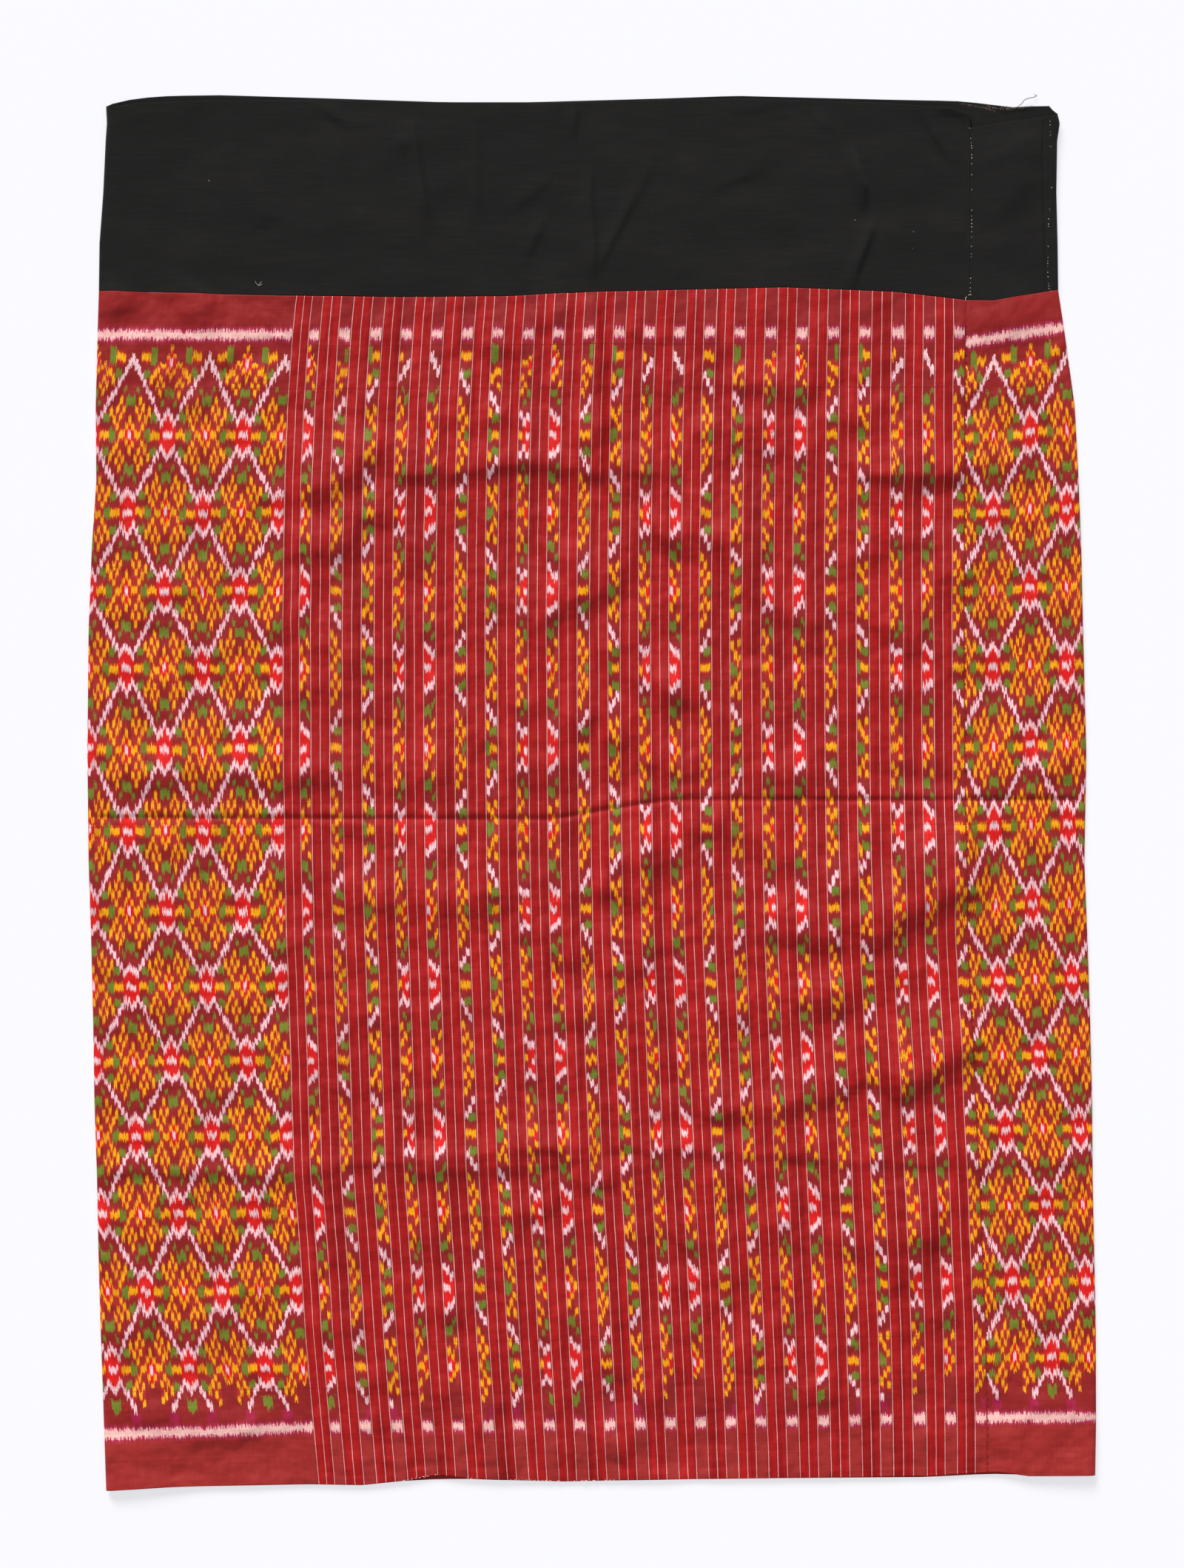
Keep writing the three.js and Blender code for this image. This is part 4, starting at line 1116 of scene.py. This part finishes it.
def thread_tree(name, material, along_line):
    """A tree that sets short pieces of thread along a line at a steady step, or as dots at given points."""
    sizes = ("Step", "Length", "Width", "Left Out", "Turn", "Spread")
    inputs = [("Line", "NodeSocketGeometry", None)]
    inputs += [(label, "NodeSocketFloat", None) for label in sizes]
    inputs += [("Seed", "NodeSocketInt", None)]
    n, given, result = new_group(name, "GeometryNodeTree", inputs, [("Threads", "NodeSocketGeometry")])

    def random(low, high, offset):
        seed = n.node("FunctionNodeIntegerMath")
        n.put(seed.inputs[0], given["Seed"])
        n.put(seed.inputs[1], offset)
        made = n.node("FunctionNodeRandomValue", {"data_type": "FLOAT"}, Seed=seed.outputs[0])
        n.put(made.inputs[2], low)
        n.put(made.inputs[3], high)
        return made.outputs[1]

    splay = n.math("MULTIPLY_ADD", random(-1.0, 1.0, 3), given["Spread"], given["Turn"])
    angles = n.point(splay, 0.0, 0.0) if along_line else n.point(0.0, 0.0, splay)
    points = given["Line"]
    rotation = n.node("FunctionNodeEulerToRotation", Euler=angles).outputs[0]
    if along_line:
        curve = n.node("GeometryNodeMeshToCurve", Mesh=points).outputs[0]
        steps = n.node("GeometryNodeResampleCurve", {"mode": "LENGTH"}, Curve=curve, Length=given["Step"])
        points = steps.outputs[0]
        tangent = n.node("GeometryNodeInputTangent").outputs[0]
        aligned = n.node("FunctionNodeAlignRotationToVector", {"axis": "Z"}, Vector=tangent).outputs[0]
        turned = n.node("FunctionNodeRotateRotation", {"rotation_space": "LOCAL"}, Rotation=aligned)
        n.put(turned.inputs[1], rotation)
        rotation = turned.outputs[0]
        shape = n.node("GeometryNodeMeshCone", Vertices=5, Radius_Top=0.2, Radius_Bottom=0.5, Depth=1.0)
        size = n.point(given["Width"], given["Width"], given["Length"])
    else:
        shape = n.node("GeometryNodeMeshIcoSphere", Radius=0.5, Subdivisions=2)
        size = n.point(given["Width"], given["Length"], given["Width"])
    varied = n.node("ShaderNodeVectorMath", {"operation": "SCALE"}, Scale=random(0.6, 1.3, 5))
    n.put(varied.inputs[0], size)
    kept = n.node("FunctionNodeCompare", {"operation": "GREATER_THAN"})
    n.put(kept.inputs[0], random(0.0, 1.0, 7))
    n.put(kept.inputs[1], given["Left Out"])
    placed = n.node(
        "GeometryNodeInstanceOnPoints", Points=points, Selection=kept.outputs[0],
        Instance=shape.outputs["Mesh"], Rotation=rotation, Scale=varied.outputs[0])
    real = n.node("GeometryNodeRealizeInstances", Geometry=placed.outputs[0])
    dressed = n.node("GeometryNodeSetMaterial", Geometry=real.outputs[0], Material=material)
    smooth = n.node("GeometryNodeSetShadeSmooth")
    n.put(smooth.inputs[0], dressed.outputs[0])
    n.put(result[0], smooth.outputs[0])
    return n.tree


def threads_along(name, tree, points, **values):
    """The pieces of thread that a tree sets along a line of points, as one plain mesh."""
    mesh = bpy.data.meshes.new(name + "_line")
    mesh.from_pydata([tuple(p) for p in points], [(i, i + 1) for i in range(len(points) - 1)], [])
    line = in_scene(name + "_line", mesh)
    modifier = line.modifiers.new("threads", "NODES")
    modifier.node_group = tree
    for item in tree.interface.items_tree:
        value = values.get(item.name.replace(" ", "_"))
        if item.item_type == "SOCKET" and item.in_out == "INPUT" and value is not None:
            modifier[item.identifier] = value
    bpy.context.view_layer.update()
    made = bpy.data.meshes.new_from_object(line.evaluated_get(bpy.context.evaluated_depsgraph_get()))
    made.name = name
    bpy.data.objects.remove(line)
    return in_scene(name, made)


def yarn(name, routes, radius, material):
    """Loose yarns as round tubes that follow their points, tapered at both ends, as one plain mesh."""
    curve = bpy.data.curves.new(name, "CURVE")
    curve.dimensions = "3D"
    curve.bevel_depth = radius
    curve.bevel_resolution = 2
    curve.resolution_u = 8
    curve.use_fill_caps = True
    for route in routes:
        spline = curve.splines.new("BEZIER")
        spline.bezier_points.add(len(route) - 1)
        for index, (place, point) in enumerate(zip(route, spline.bezier_points)):
            point.co = place
            point.handle_left_type = point.handle_right_type = "AUTO"
            point.radius = 0.55 if index in (0, len(route) - 1) else 1.0
    source = in_scene(name + "_route", curve)
    bpy.context.view_layer.update()
    made = bpy.data.meshes.new_from_object(source.evaluated_get(bpy.context.evaluated_depsgraph_get()))
    made.name = name
    made.materials.clear()
    made.materials.append(material)
    made.shade_smooth()
    bpy.data.objects.remove(source)
    return in_scene(name, made)


def on_front(x, y, above):
    """A place just above the front layer."""
    return x, y, float(front_height(np.array([x]), np.array([y]))[0]) + above


def above_cloth(photo_points, above):
    """Points of the photograph as places just above the front layer."""
    return [on_front(*from_photo(x, y), above) for x, y in photo_points]


def camera():
    """A long lens straight above the skirt that sees what the photograph shows."""
    lens, sensor = 100.0, 36.0
    seen_height = PHOTO_HEIGHT * PIXEL
    made = bpy.data.cameras.new("camera_above")
    made.lens = lens
    made.sensor_width = sensor
    made.clip_end = 50
    eye = in_scene("camera_above", made)
    x, y = from_photo(PHOTO_WIDTH / 2, PHOTO_HEIGHT / 2)
    eye.location = (x, y, seen_height * lens / sensor)
    bpy.context.scene.camera = eye


def soft_light(name, towards, breadth, strength):
    """An even, far-off lamp that looks as broad as the given number of degrees."""
    made = bpy.data.lights.new(name, "SUN")
    made.angle = math.radians(breadth)
    made.energy = strength
    lamp = in_scene(name, made)
    lamp.location = towards
    lamp.rotation_euler = (-Vector(towards)).to_track_quat("-Z", "Y").to_euler()


def studio():
    """A plain pale floor, a pale surround and two broad soft lamps."""
    mesh = bpy.data.meshes.new("floor")
    reach, depth = 12.0, -0.4 * MM
    corners = [(x * reach, y * reach, depth) for x, y in ((-1, -1), (1, -1), (1, 1), (-1, 1))]
    mesh.from_pydata(corners, [], [(0, 1, 2, 3)])
    floor = in_scene("floor", mesh)
    pale = bpy.data.materials.new("pale_floor")
    pale.use_nodes = True
    looks = {
        "Base Color": colour(150, 150, 152),
        "Roughness": 0.9,
        "Specular IOR Level": 0.1,
        "Emission Color": colour(250, 250, 255),
        "Emission Strength": 0.68,
    }
    for label, value in looks.items():
        pale.node_tree.nodes["Principled BSDF"].inputs[label].default_value = value
    mesh.materials.append(pale)
    world = bpy.data.worlds.new("surround")
    world.use_nodes = True
    surround = world.node_tree.nodes["Background"].inputs
    surround["Color"].default_value = (0.95, 0.96, 1.0, 1.0)
    surround["Strength"].default_value = 0.33
    bpy.context.scene.world = world
    soft_light("lamp_waist_side", (-0.34, 1.0, 0.74), 28, 3.45)
    soft_light("lamp_hem_side", (0.7, -0.6, 2.0), 40, 0.3)
    bpy.context.scene.view_settings.view_transform = "Standard"


camera()
studio()
weave = plain_weave_group()
silk = ikat_silk(weave)
cotton = black_cotton(weave)

# How many columns of points go round each stretch, and where those of the stripes crowd together: at the tuck
# in the silk and at the creases of the waistband, by share of the way, reach and extra density
STEPS_ROUND = {"lattice": 32, "stripes": 126, "panel": 20, "fold": 8, "back": 52}
TUCK_PLACES = [(0.467, 0.018, 1.6)]
BAND_STRIPE_STEPS = 290
BAND_CREASE_PLACES = [(0.19, 0.03, 0.8), (0.46, 0.04, 0.8), (0.845, 0.03, 1.1), (0.955, 0.03, 0.8)]
BEFORE_SEAM, AFTER_SEAM = (0.0028, 0.0012, 0.0003), (0.0008, 0.008, 0.018)
left_arc = columns("left_fold", STEPS_ROUND["fold"])[1:-1]
right_arc = columns("right_fold", STEPS_ROUND["fold"])[1:-1]
lattice = columns("lattice", STEPS_ROUND["lattice"])
stripes = [Column("stripes", share) for share in spread(0, 1, STEPS_ROUND["stripes"], TUCK_PLACES)[1:-1]]
seam_sides = [Column("stripes", 1 - share) for share in BEFORE_SEAM]
seam_sides += [Column("panel", share) for share in AFTER_SEAM]
panel = columns("panel", STEPS_ROUND["panel"])[1:]
back = columns("back", STEPS_ROUND["back"])

silk_ring = back + left_arc + lattice + stripes + seam_sides + panel + right_arc
silk_piece = cloth_piece("silk_tube", silk_ring, silk_rows, True, silk, True)
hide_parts("ikat_cloth")

# The band stops a hair short of the two lines of stitches, and so does the insert from its own side
BAND_SHORT_OF_STITCHES, INSERT_SHORT_OF_STITCHES = 0.001, 0.0006
band_panel_start = columns("panel", 3, INSERT_RIGHT + BAND_SHORT_OF_STITCHES, 1.0)
band_panel_end = columns("panel", 4, 0.0, INSERT_LEFT - BAND_SHORT_OF_STITCHES)[1:]
fine_stripes = [Column("stripes", share) for share in spread(0, 1, BAND_STRIPE_STEPS, BAND_CREASE_PLACES)[1:]]
band_ring = band_panel_start + right_arc + back + left_arc + lattice + fine_stripes + band_panel_end
band_piece = cloth_piece("cotton_band", band_ring, lambda c: band_rows(c, TOP_EDGE), False, cotton)
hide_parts("waistband")

insert_ends = INSERT_LEFT + INSERT_SHORT_OF_STITCHES, INSERT_RIGHT - INSERT_SHORT_OF_STITCHES
insert_ring = columns("panel", 30, *insert_ends)
insert_piece = cloth_piece("cotton_insert", insert_ring, lambda c: band_rows(c, INSERT_TOP), False, cotton)
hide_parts("waistband_insert")

white_thread = thread_material("white_thread", colour(236, 230, 218), colour(180, 172, 160), 0.7)
grey_yarn = thread_material("grey_yarn", colour(124, 114, 106), colour(56, 50, 48), 0.9)
raw_yarn = thread_material("raw_yarn", colour(150, 128, 108), colour(60, 50, 44), 0.9)
seam_thread = thread_material("seam_thread", colour(96, 22, 30), colour(48, 12, 20), 0.8)
hem_thread = thread_material("hem_thread", colour(240, 200, 190), colour(206, 130, 124), 0.7)
dots = thread_tree("stitch_dots", white_thread, False)
seam_dots = thread_tree("seam_dots", seam_thread, False)
hem_dots = thread_tree("hem_dots", hem_thread, False)
fray = thread_tree("frayed_yarns", raw_yarn, True)

# The hand stitches that hold the insert, by their heights in the photograph, from the top down, and the line
# that each row of them follows, as heights and places across
LEFT_STITCHES = (
    174, 188, 194, 198, 201, 210.5, 214.5, 222.5, 237, 257, 285, 293, 298, 303, 307.5, 314, 321, 334, 344,
    348, 377, 383, 390, 395,
)
RIGHT_STITCHES = (
    166, 171, 180, 184.5, 200, 255, 284, 297, 304, 307, 334, 349, 354, 357, 361, 369, 375, 384, 387.5, 391,
)
LEFT_LINE = ((174, 200, 321, 395), (1310, 1312.5, 1312.5, 1310.5))
RIGHT_LINE = ((166, 255, 300, 370, 391), (1417.5, 1420, 1416, 1415, 1417))
PALE_SPECKS = [(1234, 314), (1232.5, 336), (283, 245), (1155, 298)]
DOT_HEIGHT = 0.05 * MM
left_seam = [(np.interp(y, *LEFT_LINE), y) for y in LEFT_STITCHES]
right_seam = [(np.interp(y, *RIGHT_LINE), y) for y in RIGHT_STITCHES]
left_stitches = threads_along(
    "stitches_left", dots, above_cloth(left_seam, DOT_HEIGHT),
    Length=0.85 * MM, Width=0.5 * MM, Spread=0.7, Seed=11)
right_stitches = threads_along(
    "stitches_right", dots, above_cloth(right_seam, DOT_HEIGHT),
    Length=0.8 * MM, Width=0.5 * MM, Spread=0.7, Seed=23)
specks = threads_along(
    "pale_specks", dots, above_cloth(PALE_SPECKS, DOT_HEIGHT),
    Length=0.6 * MM, Width=0.45 * MM, Spread=1.5, Seed=4)

# Running stitches close the silk's seam, and tiny pale ones hold the rolled hem to the left of its middle
SEAM_STITCH_STEP, BESIDE_SEAM, ABOVE_SEAM = 5.6 * MM, 0.3 * MM, 0.1 * MM
HEM_STITCH_STEP, INSIDE_HEM, HEM_STITCH_HEIGHT = 3.1 * MM, 0.4 * MM, 3.4 * MM
seam_heights = np.arange(-531 * MM, 385 * MM, SEAM_STITCH_STEP)
seam_line = [on_front(float(side("seam", y)) + BESIDE_SEAM, float(y), ABOVE_SEAM) for y in seam_heights]
seam_stitches = threads_along(
    "seam_stitches", seam_dots, seam_line,
    Length=2.3 * MM, Width=0.55 * MM, Spread=0.12, Left_Out=0.12, Seed=31)
hem_places = np.arange(-150 * MM, 20 * MM, HEM_STITCH_STEP)
hem_line = [(float(x), float(read(HEM, "x", x, "front")) + INSIDE_HEM, HEM_STITCH_HEIGHT) for x in hem_places]
hem_stitches = threads_along(
    "hem_stitches", hem_dots, hem_line,
    Length=0.5 * MM, Width=2.2 * MM, Spread=0.3, Left_Out=0.3, Seed=17)

# The band's raw top edge frays at the right corner, on the back layer and on the front one. Both edges are
# routes in the photograph.
BACK_EDGE_HEIGHT = 2.0 * MM
BACK_RAW_EDGE = [(1334, 143), (1346, 146), (1354, 147), (1362, 146), (1372, 145), (1382, 144.5), (1395, 143)]
FRONT_RAW_EDGE = [(1298, 141), (1314, 143), (1330, 146), (1345, 151)]
back_edge = [(*from_photo(x, y), BACK_EDGE_HEIGHT) for x, y in BACK_RAW_EDGE]
frayed_back = threads_along(
    "frayed_back_edge", fray, back_edge,
    Step=0.55 * MM, Length=2.2 * MM, Width=0.3 * MM, Turn=math.pi / 2, Spread=1.1, Left_Out=0.2, Seed=5)
frayed_front = threads_along(
    "frayed_front_edge", fray, above_cloth(FRONT_RAW_EDGE, 0.0),
    Step=0.7 * MM, Length=1.6 * MM, Width=0.3 * MM, Turn=math.pi / 2, Spread=0.8, Left_Out=0.25, Seed=8)

# Loose yarns, fluff and thread ends by their routes in the photograph, and the loose yarns' heights in mm
LOOSE_YARN = {
    "long_end": [(1373, 146, 2.2), (1380, 141, 3.2), (1384, 136, 3.4), (1390, 133.6, 3.0), (1396, 132.2, 2.4),
                 (1402, 129.6, 1.6)],
    "split_tip": [(1398, 132.2, 2.4), (1399.5, 129.6, 2.8), (1397, 128, 2.4)],
    "loop": [(1351, 149, 2.4), (1353, 146, 3.0), (1356, 145, 3.2), (1359, 146.8, 2.8), (1360, 149.5, 2.2)],
}
PALE_FLUFF = [
    [(345, 380), (347, 384), (351, 386), (355, 384.5)],
    [(349, 387), (352, 383), (354, 381)],
]
CORNER_STITCHES = [
    [(1307.5, 400), (1309.5, 399.2), (1312, 399.4)],
    [(1306, 401.5), (1304.2, 404), (1304.6, 408)],
]
loose_routes = [[(*from_photo(x, y), z * MM) for x, y, z in route] for route in LOOSE_YARN.values()]
fluff_routes = [above_cloth(route, 0.25 * MM) for route in PALE_FLUFF]
corner_routes = [above_cloth(route, 0.15 * MM) for route in CORNER_STITCHES]
loose_yarn = yarn("loose_yarn", loose_routes, 0.28 * MM, grey_yarn)
fluff = yarn("pale_fluff", fluff_routes, 0.12 * MM, white_thread)
corner_stitches = yarn("corner_stitches", corner_routes, 0.24 * MM, white_thread)

small_pieces = {
    "black_cotton": [
        left_stitches, right_stitches, specks, frayed_back, frayed_front, loose_yarn, fluff, corner_stitches,
    ],
    "ikat_silk": [seam_stitches, hem_stitches],
}
cloth_pieces = [silk_piece, band_piece, insert_piece]
for piece in cloth_pieces + small_pieces["black_cotton"] + small_pieces["ikat_silk"]:
    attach(piece, "root")
